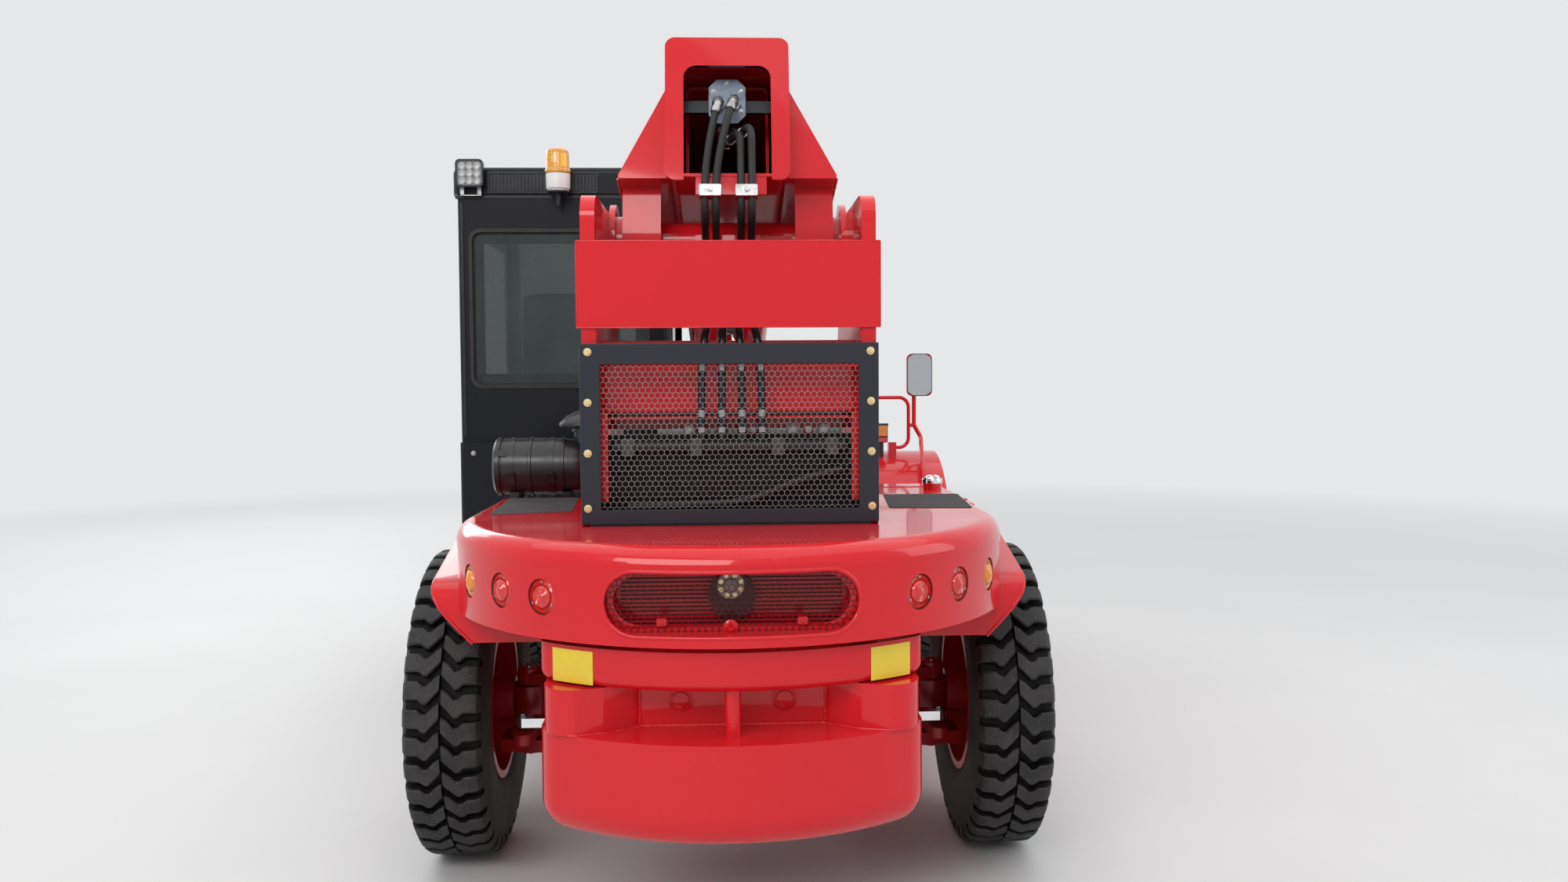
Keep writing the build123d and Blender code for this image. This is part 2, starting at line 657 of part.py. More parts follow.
with BuildPart() as cab_shell:
    with BuildSketch(side(cab_left)):
        with BuildLine():
            Polyline((cab_tub_rear, cab_floor), (cab_tub_rear, cab_lip), (cab_rear, cab_lip), (cab_rear, cab_roof_low),
                     (cab_front - screen_lean, cab_roof_low), (cab_front, screen_knee), (cab_front, cab_nose_low),
                     (cab_floor_end, cab_floor), close=True)
        make_face()
    extrude(amount=cab_right - cab_left)
    fillet(cab_shell.edges().filter_by(Axis.Z).sort_by(Axis.Y)[:4], radius=30)
    with BuildSketch(side(cab_left + cab_wall)):
        with BuildLine():
            inner_rear_wall = cab_rear + cab_wall
            Polyline((inner_rear_wall, cab_floor + cab_wall), (inner_rear_wall, cab_roof_low + 10),
                     (cab_front - screen_lean - cab_wall, cab_roof_low + 10), (cab_front - cab_wall, screen_knee),
                     (cab_front - cab_wall, cab_nose_low + 22), (cab_floor_end - 18, cab_floor + cab_wall), close=True)
        make_face()
    extrude(amount=cab_right - cab_left - 2 * cab_wall, mode=Mode.SUBTRACT)
    w = rear_window
    with BuildSketch(cross(cab_rear - 10)):
        with Locations(((w[0] + w[1]) / 2, (w[2] + w[3]) / 2)):
            RectangleRounded(w[1] - w[0], w[3] - w[2], 40)
    extrude(amount=-60, mode=Mode.SUBTRACT)
    w = front_window
    with BuildSketch(cross(cab_front - screen_lean - cab_wall - 20)):
        with Locations(((w[0] + w[1]) / 2, (w[2] + w[3]) / 2)):
            Rectangle(w[1] - w[0], w[3] - w[2])
    extrude(amount=-screen_lean - cab_wall - 30, mode=Mode.SUBTRACT)
    w = right_window
    with BuildSketch(side(cab_right + 10)):
        with Locations(((w[0] + w[1]) / 2, (w[2] + w[3]) / 2)):
            RectangleRounded(w[1] - w[0], w[3] - w[2], 40)
    extrude(amount=-60, mode=Mode.SUBTRACT)
    with BuildSketch(side(cab_left - 10)):
        with Locations(((door_rear + door_front) / 2, (door_low + door_high) / 2)):
            Rectangle(door_front - door_rear, door_high - door_low)
    extrude(amount=cab_wall + 20, mode=Mode.SUBTRACT)
    # fixed halves of the door hinges
    for height in hinge_heights:
        with BuildSketch(plan(height + hinge_tall / 2 + running_gap)):
            with Locations((hinge_x, hinge_station)):
                Circle(hinge_r)
            with Locations(((hinge_x + cab_left + 5) / 2, hinge_station - hinge_r)):
                Rectangle(cab_left + 5 - hinge_x, 2 * hinge_r)
        extrude(amount=hinge_tall / 2)
save("cab_shell", cab_shell)

with BuildPart() as cab_roof:
    with BuildSketch(plan(cab_roof_low)):
        with Locations(((cab_left - roof_lip + cab_right) / 2, (cab_rear + cab_front - 70) / 2)):
            RectangleRounded(cab_right - cab_left + roof_lip, cab_front - 50 - cab_rear, 60)
    extrude(amount=cab_roof_top - cab_roof_low)
    fillet(cab_roof.faces().sort_by(Axis.Z)[-1].edges(), radius=25)
save("cab_roof", cab_roof)

with BuildPart() as cab_glass:
    w = rear_window
    with BuildSketch(cross(cab_rear + 20)):
        with Locations(((w[0] + w[1]) / 2, (w[2] + w[3]) / 2)):
            RectangleRounded(w[1] - w[0], w[3] - w[2], 40)
    extrude(amount=glass_thick)
    w = right_window
    with BuildSketch(side(cab_right - 20)):
        with Locations(((w[0] + w[1]) / 2, (w[2] + w[3]) / 2)):
            RectangleRounded(w[1] - w[0], w[3] - w[2], 40)
    extrude(amount=glass_thick)
    # the front pane leans with the upper front wall
    w = front_window
    lean = screen_lean / (cab_roof_low - screen_knee)
    with BuildSketch(side(w[0])):
        with BuildLine():
            pane = cab_front - 24
            head = pane - lean * (w[3] - screen_knee)
            Polyline((pane, w[2]), (pane, screen_knee), (head, w[3]), (head - glass_thick, w[3]),
                     (pane - glass_thick, screen_knee), (pane - glass_thick, w[2]), close=True)
        make_face()
    extrude(amount=w[1] - w[0])
save("cab_glass", cab_glass)

door_play = 4
with BuildPart() as cab_door:
    with BuildSketch(side(cab_left)):
        with Locations(((door_rear + door_front) / 2, (door_low + door_high) / 2)):
            Rectangle(door_front - door_rear - 2 * door_play, door_high - door_low - 2 * door_play)
        w = door_window
        with Locations(((w[0] + w[1]) / 2, (w[2] + w[3]) / 2)):
            RectangleRounded(w[1] - w[0], w[3] - w[2], 40, mode=Mode.SUBTRACT)
    extrude(amount=cab_wall - 5)
    # two hinge leaves at the rear edge
    for height in hinge_heights:
        with BuildSketch(plan(height - hinge_tall / 2)):
            with Locations((hinge_x, hinge_station)):
                Circle(hinge_r)
            with Locations((hinge_x, hinge_station + 25)):
                Rectangle(8, 50)
            with Locations(((hinge_x + cab_left) / 2, hinge_station + 35)):
                Rectangle(cab_left - hinge_x, 30)
        extrude(amount=hinge_tall)
save("cab_door", cab_door)
with BuildPart() as door_glass:
    w = door_window
    with BuildSketch(side(cab_left + 15)):
        with Locations(((w[0] + w[1]) / 2, (w[2] + w[3]) / 2)):
            RectangleRounded(w[1] - w[0], w[3] - w[2], 40)
    extrude(amount=glass_thick)
save("door_glass", door_glass)

seat_x = (cab_left + cab_right) / 2
floor = cab_floor + cab_wall
seat_rear = cab_rear + 180
with BuildPart() as operator_seat:
    with BuildSketch(side(seat_x - 230)):
        with BuildLine():
            Polyline((seat_rear + 90, floor), (seat_rear + 570, floor), (seat_rear + 570, floor + 300),
                     (seat_rear + 590, floor + 430), (seat_rear + 160, floor + 430), (seat_rear + 90, floor + 950),
                     (seat_rear, floor + 950), (seat_rear + 30, floor + 380), close=True)
        make_face()
    extrude(amount=460)
save("operator_seat", operator_seat)

with BuildPart() as control_console:
    with BuildSketch(side(seat_x - 200)):
        with BuildLine():
            Polyline((cab_floor_end - 80, floor), (cab_floor_end - 18, floor), (cab_front - cab_wall, cab_nose_low + 22),
                     (cab_front - cab_wall, floor + 480), (cab_front - 160, floor + 520), (cab_front - 250, floor + 480),
                     close=True)
        make_face()
    extrude(amount=400)
    wheel_plane = Plane(origin=(seat_x, rear_axle_y + cab_front - 350, floor + 700), x_dir=(1, 0, 0), z_dir=(0, -0.42, 0.91))
    with BuildSketch(wheel_plane):
        Circle(190)
        Circle(165, mode=Mode.SUBTRACT)
        Rectangle(350, 30)
    extrude(amount=22)
    with BuildSketch(wheel_plane):
        Circle(28)
    extrude(amount=-270)
save("control_console", control_console)

# ------------------------------------------------------------------ lamps, mirror and handrail
beacon_station, beacon_x, beacon_r, beacon_low, beacon_top = 1060, -710, 53, 2388, 2565
with BuildPart() as beacon:
    # shelf on the roof's rear face, base and dome
    with BuildSketch(plan(beacon_low - 8)):
        with Locations((beacon_x, (beacon_station - 55 + cab_rear - 10) / 2)):
            Rectangle(80, cab_rear - 10 - beacon_station + 55)
    extrude(amount=8)
    with BuildSketch(plan(beacon_low)):
        with Locations((beacon_x, beacon_station)):
            Circle(beacon_r)
    extrude(amount=beacon_top - beacon_low)
    chamfer(beacon.faces().sort_by(Axis.Z)[-1].edges(), length=18)
save("beacon", beacon)

# work lamps: across, station, and whether they face back
lamp_half, lamp_case = 59, 55
with BuildPart() as work_lamps:
    for x, station, facing in ((-1082, cab_rear - 10, 1), (cab_left + 60, cab_front - 60, -1), (cab_right - 80, cab_front - 60, -1)):
        with BuildSketch(cross(station)):
            with Locations((x, cab_roof_low + 79)):
                RectangleRounded(2 * lamp_half, 2 * lamp_half, 18)
        extrude(amount=facing * lamp_case)
save("work_lamps", work_lamps)

# turn lamps on the front fenders, and the handrail and mirror on the right one
rail_station, rail_r, rail_low, rail_high = wheelbase - 150, 10, 1204, 1484
rail_in, rail_out, rail_bend = 462, 1009, 55
turn_lamp_x, rail_block_x = 849, 915
fender_crest = front_od / 2 + sqrt(wing_radius ** 2 - (wheelbase - rail_station) ** 2)
with BuildPart() as turn_lamps:
    for sign in (-1, 1):
        with BuildSketch(cross(rail_station - 40)):
            with Locations((sign * turn_lamp_x, 1285)):
                RectangleRounded(80, 105, 8)
        extrude(amount=-60)
        with BuildSketch(cross(rail_station - 25)):
            with Locations((sign * turn_lamp_x, (fender_crest + 1240) / 2 - 8)):
                Rectangle(40, 1240 - fender_crest + 16)
        extrude(amount=-30)
        with BuildSketch(across(wheelbase, front_od / 2)):
            Circle(wing_radius)
        extrude(amount=sign * 1000, mode=Mode.SUBTRACT)
save("turn_lamps", turn_lamps)

with BuildPart() as handrail:
    with BuildLine(cross(rail_station)) as loop:
        FilletPolyline((rail_block_x, rail_low), (rail_out, rail_low), (rail_out, rail_high), (rail_in, rail_high),
                       (rail_in, fender_crest), radius=rail_bend)
    with BuildSketch(Plane(origin=loop.line @ 0, z_dir=loop.line % 0)):
        Circle(rail_r)
    sweep(path=loop.line)
    # block that holds the loop's lower end on the fender
    with BuildSketch(cross(rail_station - 25)):
        with Locations((rail_block_x, (rail_low + fender_crest) / 2)):
            Rectangle(44, rail_low - fender_crest + 60)
    extrude(amount=-50)
    with BuildSketch(across(wheelbase, front_od / 2)):
        Circle(wing_radius)
    extrude(amount=wing_outer, mode=Mode.SUBTRACT)
save("handrail", handrail)

mirror_x, mirror_low, mirror_high, post_r = 1067, 1492, 1728, 12
with BuildPart() as right_mirror:
    # across, station and height along the post
    with BuildLine() as post:
        FilletPolyline(*[Vector(x, rear_axle_y + station, height) for x, station, height in (
            (1040, rail_station, mirror_low + 40), (1040, rail_station, 1330), (1076, rail_station - 12, 1262),
            (1046, wheelbase - 430, 1095), (1010, wheelbase - 553, 845))], radius=25)
    with BuildSketch(Plane(origin=post.line @ 0, z_dir=post.line % 0)):
        Circle(post_r)
    sweep(path=post.line)
    with BuildSketch(cross(rail_station - 30)):
        with Locations((mirror_x, (mirror_low + mirror_high) / 2)):
            RectangleRounded(141, mirror_high - mirror_low, 30)
    extrude(amount=-34)
    # clamp on the handrail
    with BuildSketch(plan(1318)):
        with Locations(((rail_out + rail_r + 1040) / 2, rail_station)):
            Rectangle(1040 - rail_out - rail_r, 18)
    extrude(amount=20)
    with BuildSketch(across(wheelbase, front_od / 2)):
        Circle(wing_radius)
    extrude(amount=wing_outer, mode=Mode.SUBTRACT)
save("right_mirror", right_mirror)

# ------------------------------------------------------------------ boom
tube_bottom, tube_top = boom_rise - base_h / 2, boom_rise + base_h / 2
with BuildPart() as boom_base:
    with BuildSketch(boom_cross(base_rear)):
        with Locations((0, boom_rise)):
            RectangleRounded(base_w, base_h, 31)
            RectangleRounded(base_w - 2 * base_wall, base_h - 2 * base_wall, 21, mode=Mode.SUBTRACT)
    extrude(amount=-(base_front - base_rear))
    # collar at the mouth
    with BuildSketch(boom_cross(base_front - 60)):
        with Locations((0, boom_rise)):
            RectangleRounded(base_w + 24, base_h + 24, 40)
            RectangleRounded(base_w - 2 * base_wall, base_h - 2 * base_wall, 21, mode=Mode.SUBTRACT)
    extrude(amount=-60)
    # cap on the rear end, with a window open at its foot
    with BuildSketch(boom_cross(base_rear)):
        with Locations((0, boom_rise)):
            RectangleRounded(base_w + 2 * cap_lip, base_h + 2 * cap_lip, 31)
        with Locations((0, tube_top + cap_lip - cap_head - base_h / 2)):
            RectangleRounded(cap_window, base_h, 40, mode=Mode.SUBTRACT)
    extrude(amount=-cap_thick)
    flange_top = flange_low + flange_thick
    wall_x = base_w / 2 - 1
    gusset_top = tube_top - gusset_drop
    for sign in (-1, 1):
        # foot around the pivot, under a flange
        with BuildSketch(boom_side(sign * foot_in)):
            with BuildLine():
                Polyline((-foot_r, 0), (-foot_r, flange_low + 5), (foot_front, flange_low + 5), (foot_front, tube_bottom),
                         (foot_r * 0.8, -foot_r * 0.6), (0, -foot_r), (-foot_r * 0.8, -foot_r * 0.6), close=True)
            make_face()
            Circle(foot_r)
        extrude(amount=sign * (foot_out - foot_in))
        with BuildSketch(boom_cross(flange_rear)):
            with Locations((sign * (wall_x + flange_half) / 2, flange_low + flange_thick / 2)):
                Rectangle(flange_half - wall_x, flange_thick)
        extrude(amount=flange_rear - foot_front)
        # gusset between the tube and the flange: a rear plate and a slanted outer one
        for depth, inside in ((gusset_thick, ((flange_half, flange_low), (wall_x, flange_low))),
                              (foot_front - flange_rear, ((flange_half - 14, flange_top), (wall_x, gusset_top - 26)))):
            with BuildSketch(boom_cross(flange_rear)):
                with BuildLine():
                    corners = ((wall_x, gusset_top), (flange_half, flange_top), *inside)
                    Polyline(*[(sign * x, m) for x, m in corners], close=True)
                make_face()
            extrude(amount=-depth)
    # cross tube between the feet, with the block that the hoses end on
    with BuildSketch(boom_side(-foot_in - 1)):
        Circle(cross_tube_r)
    extrude(amount=2 * foot_in + 2)
    with BuildSketch(boom_side(-hose_block_half)):
        with Locations((-(hose_block_rear + pivot_pin_r + 5) / 2, hose_block_m)):
            Rectangle(hose_block_rear - pivot_pin_r - 5, 60)
    extrude(amount=2 * hose_block_half)
    # hose plate under the tube's rear end, with a clamp for each pair of hoses
    with BuildSketch(boom_cross(base_rear + 2)):
        with Locations((10, (hose_plate_low + tube_bottom + 5) / 2)):
            Rectangle(220, tube_bottom + 5 - hose_plate_low)
    extrude(amount=-8)
    for x in (-55, 57):
        with BuildSketch(boom_cross(hose_t - 15)):
            with Locations((x, hose_plate_low + 2)):
                Rectangle(66, 38)
        extrude(amount=hose_t - 15 - base_rear - 4)
    with BuildSketch(Plane(origin=pivot + boom_dir * hose_t, x_dir=(1, 0, 0), z_dir=boom_up)):
        with Locations(*[(x, 0) for x in hose_x]):
            Circle(hose_r + 1.5)
    extrude(amount=tube_bottom, mode=Mode.SUBTRACT)
    with BuildSketch(boom_side()):
        Circle(pivot_pin_r + running_gap)
    extrude(amount=foot_out + 5, both=True, mode=Mode.SUBTRACT)
    # lugs with stub pins for the lift cylinder
    for sign in (-1, 1):
        with BuildSketch(boom_side(sign * (eye_half + lug_gap))):
            with Locations((lug_t, lug_m)):
                Circle(70)
            with Locations((lug_t, (lug_m + tube_bottom) / 2 + 4)):
                Rectangle(140, tube_bottom - lug_m + 8)
        extrude(amount=sign * lug_plate)
        with BuildSketch(boom_side(sign * (eye_half + lug_gap + lug_plate))):
            with Locations((lug_t, lug_m)):
                Circle(cylinder_pin_r)
        extrude(amount=sign * 14)
    # wear pads at the mouth
    for px, pm, pw, ph in (
        (0, middle_h / 2, 200, 0), (0, -middle_h / 2, 200, 0), (middle_w / 2, 0, 0, 240), (-middle_w / 2, 0, 0, 240)):
        gap_w = (base_w - middle_w) / 2 - base_wall - pad_gap
        gap_h = (base_h - middle_h) / 2 - base_wall - pad_gap
        with BuildSketch(boom_cross(base_front - 120)):
            with Locations((px + (0 if pw else (1 if px > 0 else -1) * (pad_gap + gap_w / 2)),
                            boom_rise + pm + (0 if ph else (1 if pm > 0 else -1) * (pad_gap + gap_h / 2)))):
                Rectangle(pw or gap_w, ph or gap_h)
        extrude(amount=-120)
save("boom_base", boom_base)

# extension cylinder inside the boom, held by a bar across the tube behind the sliding sections
barrel_m, barrel_t, barrel_reach, extension_r = 400, -200, 1500, 50
with BuildPart() as extension_cylinder:
    with BuildSketch(boom_cross(barrel_t)):
        with Locations((0, barrel_m)):
            RegularPolygon(66, 8, rotation=22.5)
    extrude(amount=-15)
    with BuildSketch(boom_cross(barrel_t)):
        with Locations((0, barrel_m)):
            Circle(extension_r)
    extrude(amount=barrel_t - barrel_reach)
    with BuildSketch(boom_cross(barrel_t + 18)):
        with Locations((0, barrel_m)):
            Rectangle(base_w - 2 * base_wall, 40)
    extrude(amount=-15)
    # two ports on the end plate and two under the barrel
    with BuildSketch(boom_cross(barrel_t - 20)):
        with Locations((-24, barrel_m - 12), (24, barrel_m - 12)):
            Circle(hose_r + 2)
    extrude(amount=-21)
    with BuildSketch(Plane(origin=pivot + boom_dir * port_t + boom_up * port_m, x_dir=(1, 0, 0), z_dir=boom_up)):
        with Locations((-20, 0), (20, 0)):
            Circle(hose_r + 2)
    extrude(amount=barrel_m - port_m)
save("extension_cylinder", extension_cylinder)

# hoses: across, along the boom and above the pivot where each bends, as far as its clamp
hose_bend = 40
hose_runs = (
    (hose_x[0], ((-24, barrel_t - 20, barrel_m - 12), (-24, -330, barrel_m - 12))),
    (hose_x[1], ((24, barrel_t - 20, barrel_m - 12), (24, -345, barrel_m - 12))),
    (hose_x[2], ((-20, port_t, port_m), (-20, port_t, 270), (hose_x[2], -328, 270))),
    (hose_x[3], ((20, port_t, port_m), (20, port_t, 288), (hose_x[3], -345, 288))),
)
for number, (x, start) in enumerate(hose_runs, 1):
    spots = start + ((x, hose_t, 150), (x, hose_t, hose_block_m), (x, -hose_block_rear, hose_block_m))
    with BuildPart() as hose:
        with BuildLine() as run:
            corners = [pivot + Vector(across_x, 0, 0) + boom_dir * t + boom_up * m for across_x, t, m in spots]
            FilletPolyline(*corners, radius=hose_bend)
        with BuildSketch(Plane(origin=run.line @ 0, z_dir=run.line % 0)):
            Circle(hose_r)
        sweep(path=run.line)
    save(f"boom_hose_{number}", hose)

with BuildPart() as boom_middle:
    with BuildSketch(boom_cross(middle_rear)):
        with Locations((0, boom_rise)):
            RectangleRounded(middle_w, middle_h, 28)
            RectangleRounded(middle_w - 2 * middle_wall, middle_h - 2 * middle_wall, 18, mode=Mode.SUBTRACT)
    extrude(amount=-(middle_front - middle_rear))
    for px, pm, pw, ph in (
        (0, inner_h / 2, 180, 0), (0, -inner_h / 2, 180, 0), (inner_w / 2, 0, 0, 220), (-inner_w / 2, 0, 0, 220)):
        gap_w = (middle_w - inner_w) / 2 - middle_wall - pad_gap
        gap_h = (middle_h - inner_h) / 2 - middle_wall - pad_gap
        with BuildSketch(boom_cross(middle_front - 120)):
            with Locations((px + (0 if pw else (1 if px > 0 else -1) * (pad_gap + gap_w / 2)),
                            boom_rise + pm + (0 if ph else (1 if pm > 0 else -1) * (pad_gap + gap_h / 2)))):
                Rectangle(pw or gap_w, ph or gap_h)
        extrude(amount=-120)
save("boom_middle", boom_middle)


def on_boom(t, m):
    # station and height of a point given along and above the boom
    return (pivot_station + t * cos(slope) + m * sin(slope), pivot_height - t * sin(slope) + m * cos(slope))


head_top = on_boom(inner_front, boom_rise + inner_h / 2)
head_low = on_boom(inner_front, boom_rise - inner_h / 2)
head_eye, head_web = 95, 18
# the head's bends: ahead of the tube's top, and behind the pin on the underside
head_knee = (head_pin_station - 170, head_pin_height + 980)
head_heel = (head_pin_station - 320, head_pin_height + 640)
head_outline = (head_low, head_top, head_knee, (head_pin_station + 90, head_pin_height + 30),
                (head_pin_station - 93, head_pin_height - 20), head_heel)
with BuildPart() as boom_inner:
    with BuildSketch(side()):
        with BuildLine():
            Polyline(*head_outline, close=True)
        make_face()
        with Locations((head_pin_station, head_pin_height)):
            Circle(head_eye)
    extrude(amount=inner_w / 2, both=True)
    # hollow inside, and open at the front and below for the levers
    with BuildSketch(side()):
        with BuildLine():
            Polyline(*head_outline, close=True)
        make_face()
        offset(amount=-head_web, kind=Kind.INTERSECTION)
        with BuildLine():
            Polyline((head_heel[0] - 50, head_pin_height + 340), (head_pin_station + 150, head_pin_height + 1080),
                     (head_pin_station + 150, head_pin_height - 200), (head_heel[0] - 50, head_pin_height - 200),
                     close=True)
        make_face()
    extrude(amount=inner_w / 2 - head_plate, both=True, mode=Mode.SUBTRACT)
    with BuildSketch(boom_cross(inner_rear)):
        with Locations((0, boom_rise)):
            RectangleRounded(inner_w, inner_h, 25)
    extrude(amount=-(inner_front - inner_rear))
    with BuildSketch(boom_cross(inner_rear)):
        with Locations((0, boom_rise)):
            RectangleRounded(inner_w - 2 * inner_wall, inner_h - 2 * inner_wall, 15)
    extrude(amount=-(inner_front - inner_rear - 20), mode=Mode.SUBTRACT)
    with BuildSketch(across(head_pin_station, head_pin_height)):
        Circle(shaft_r + running_gap)
    extrude(amount=inner_w, both=True, mode=Mode.SUBTRACT)
    # pin of the tilt cylinder
    with BuildSketch(across(tilt_base_station, tilt_base_height)):
        Circle(25)
    extrude(amount=inner_w / 2 - 10, both=True)
save("boom_inner", boom_inner)

# ------------------------------------------------------------------ cylinders
def cylinder_plane(base, tip, along, x=0.0):
    # square to the cylinder, at a distance from its base pin
    d = Vector(0, tip[0] - base[0], tip[1] - base[1]).normalized()
    return Plane(origin=Vector(x, rear_axle_y + base[0], base[1]) + d * along, x_dir=(1, 0, 0), z_dir=d)


lift_base = (lift_base_station, lift_base_height)
lift_tip = on_boom(lug_t, lug_m)
lift_closed = hypot(lift_tip[0] - lift_base[0], lift_tip[1] - lift_base[1])
barrel_end = lift_closed - 130
with BuildPart() as lift_barrel:
    with BuildSketch(cylinder_plane(lift_base, lift_tip, 70)):
        Circle(barrel_r)
    extrude(amount=barrel_end - 70)
    with BuildSketch(cylinder_plane(lift_base, lift_tip, barrel_end - 70)):
        Circle(barrel_r + 10)
    extrude(amount=70)
    with BuildSketch(across(*lift_base, -eye_half)):
        Circle(eye_r)
    extrude(amount=2 * eye_half)
    with BuildSketch(cylinder_plane(lift_base, lift_tip, 0)):
        Rectangle(2 * eye_half, 2 * eye_r - 20)
    extrude(amount=75)
    with BuildSketch(cylinder_plane(lift_base, lift_tip, 110)):
        Circle(rod_r + running_gap)
    extrude(amount=barrel_end, mode=Mode.SUBTRACT)
    with BuildSketch(across(*lift_base, -eye_half)):
        Circle(cylinder_pin_r + running_gap)
    extrude(amount=2 * eye_half, mode=Mode.SUBTRACT)
save("lift_barrel", lift_barrel)
with BuildPart() as lift_rod:
    with BuildSketch(cylinder_plane(lift_base, lift_tip, 130)):
        Circle(rod_r)
    extrude(amount=lift_closed - 130 - eye_r + 10)
    with BuildSketch(across(*lift_tip, -eye_half)):
        Circle(eye_r)
    extrude(amount=2 * eye_half)
    with BuildSketch(across(*lift_tip, -eye_half)):
        Circle(cylinder_pin_r + 2)
    extrude(amount=2 * eye_half, mode=Mode.SUBTRACT)
save("lift_rod", lift_rod)

head_pin = (head_pin_station, head_pin_height)
tilt_base = (tilt_base_station, tilt_base_height)
tilt_tip = (head_pin_station + lever_length * cos(radians(lever_angle)),
            head_pin_height + lever_length * sin(radians(lever_angle)))
tilt_closed = hypot(tilt_tip[0] - tilt_base[0], tilt_tip[1] - tilt_base[1])
tilt_barrel_end = tilt_closed - 130
with BuildPart() as tilt_barrel:
    with BuildSketch(cylinder_plane(tilt_base, tilt_tip, 40)):
        Circle(tilt_barrel_r)
    extrude(amount=tilt_barrel_end - 40)
    with BuildSketch(across(*tilt_base, -40)):
        Circle(tilt_eye_r)
    extrude(amount=80)
    with BuildSketch(cylinder_plane(tilt_base, tilt_tip, 90)):
        Circle(tilt_rod_r + running_gap)
    extrude(amount=tilt_barrel_end, mode=Mode.SUBTRACT)
    with BuildSketch(across(*tilt_base, -40)):
        Circle(25 + running_gap)
    extrude(amount=80, mode=Mode.SUBTRACT)
save("tilt_barrel", tilt_barrel)
with BuildPart() as tilt_rod:
    with BuildSketch(cylinder_plane(tilt_base, tilt_tip, 150)):
        Circle(tilt_rod_r)
    extrude(amount=tilt_closed - 150 - tilt_eye_r + 8)
    with BuildSketch(across(*tilt_tip, -eye_half)):
        Circle(tilt_eye_r)
    extrude(amount=2 * eye_half)
    with BuildSketch(across(*tilt_tip, -eye_half)):
        Circle(22)
    extrude(amount=2 * eye_half, mode=Mode.SUBTRACT)
save("tilt_rod", tilt_rod)

# ------------------------------------------------------------------ carriage and forks
back = carriage_back - head_pin_station
with BuildPart() as fork_carriage:
    with BuildSketch(side()):
        with Locations((carriage_back + 20, 340)):
            Rectangle(40, 120)
        with Locations((carriage_back + 20, 900)):
            Rectangle(40, 80)
    extrude(amount=carriage_half, both=True)
    for sign in (-1, 1):
        # end plates, lug plates at the head pin, and lever plates for the tilt cylinder
        with BuildSketch(side(sign * (carriage_half - 25))):
            with Locations((carriage_back + 52, (280 + shaft_height + 50) / 2)):
                Rectangle(104, shaft_height + 50 - 280)
        extrude(amount=sign * 25)
        with BuildSketch(side(sign * (inner_w / 2 + 7))):
            with Locations(head_pin):
                Circle(80)
            with BuildLine():
                Polyline((head_pin_station, head_pin_height + 80), (carriage_back + 40, 1000),
                         (carriage_back + 40, 280), (head_pin_station, head_pin_height - 80), close=True)
            make_face()
        extrude(amount=sign * 30)
        with BuildSketch(side(sign * (eye_half + 10))):
            with Locations(tilt_tip):
                Circle(42)
            with BuildLine():
                Polyline((tilt_tip[0], tilt_tip[1] + 42), (carriage_back + 5, tilt_tip[1] + 42),
                         (carriage_back + 5, tilt_tip[1] - 160), (tilt_tip[0] + 30, tilt_tip[1] - 160),
                         (tilt_tip[0] - 30, tilt_tip[1] - 30), close=True)
            make_face()
        extrude(amount=sign * 22)
    # back plate carrying the levers, shaft for the forks and the head pin
    with BuildSketch(side()):
        with Locations((carriage_back + 10, 660)):
            Rectangle(20, 560)
    extrude(amount=inner_w / 2 + 37, both=True)
    with BuildSketch(across(carriage_back + 64, shaft_height)):
        Circle(shaft_r)
    extrude(amount=carriage_half, both=True)
    with BuildSketch(across(*head_pin)):
        Circle(shaft_r)
    extrude(amount=inner_w / 2 + 37, both=True)
save("fork_carriage", fork_carriage)

with BuildPart() as forks:
    for sign in (-1, 1):
        with BuildSketch(side(sign * fork_spread / 2 - fork_width / 2)):
            with BuildLine():
                Polyline((fork_face - fork_thick, fork_clearance), (fork_tip, fork_clearance),
                         (fork_tip, fork_clearance + 12), (fork_face + 300, fork_clearance + fork_thick),
                         (fork_face, fork_clearance + fork_thick), (fork_face, shaft_height),
                         (fork_face - fork_thick, shaft_height), close=True)
            make_face()
            with Locations((carriage_back + 64, shaft_height)):
                Circle(shaft_r + 24)
                Circle(shaft_r + running_gap, mode=Mode.SUBTRACT)
        extrude(amount=fork_width)
save("forks", forks)
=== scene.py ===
from math import asin, cos, exp, hypot, pi, radians, sin, sqrt, tau

import bmesh
import bpy
from mathutils import Matrix, Vector, noise


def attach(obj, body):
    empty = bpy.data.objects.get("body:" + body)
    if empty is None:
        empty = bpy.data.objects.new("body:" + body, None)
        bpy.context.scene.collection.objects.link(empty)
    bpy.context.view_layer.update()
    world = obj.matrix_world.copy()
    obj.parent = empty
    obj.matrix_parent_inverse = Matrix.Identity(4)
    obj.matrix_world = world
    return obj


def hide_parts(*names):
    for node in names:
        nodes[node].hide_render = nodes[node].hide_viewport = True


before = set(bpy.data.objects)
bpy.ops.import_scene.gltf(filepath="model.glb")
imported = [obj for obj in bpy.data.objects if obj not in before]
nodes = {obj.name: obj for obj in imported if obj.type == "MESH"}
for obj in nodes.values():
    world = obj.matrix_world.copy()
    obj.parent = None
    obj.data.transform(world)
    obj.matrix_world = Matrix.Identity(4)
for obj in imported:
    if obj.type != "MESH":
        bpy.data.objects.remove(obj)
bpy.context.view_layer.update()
print("frame loaded, nodes:", len(nodes))

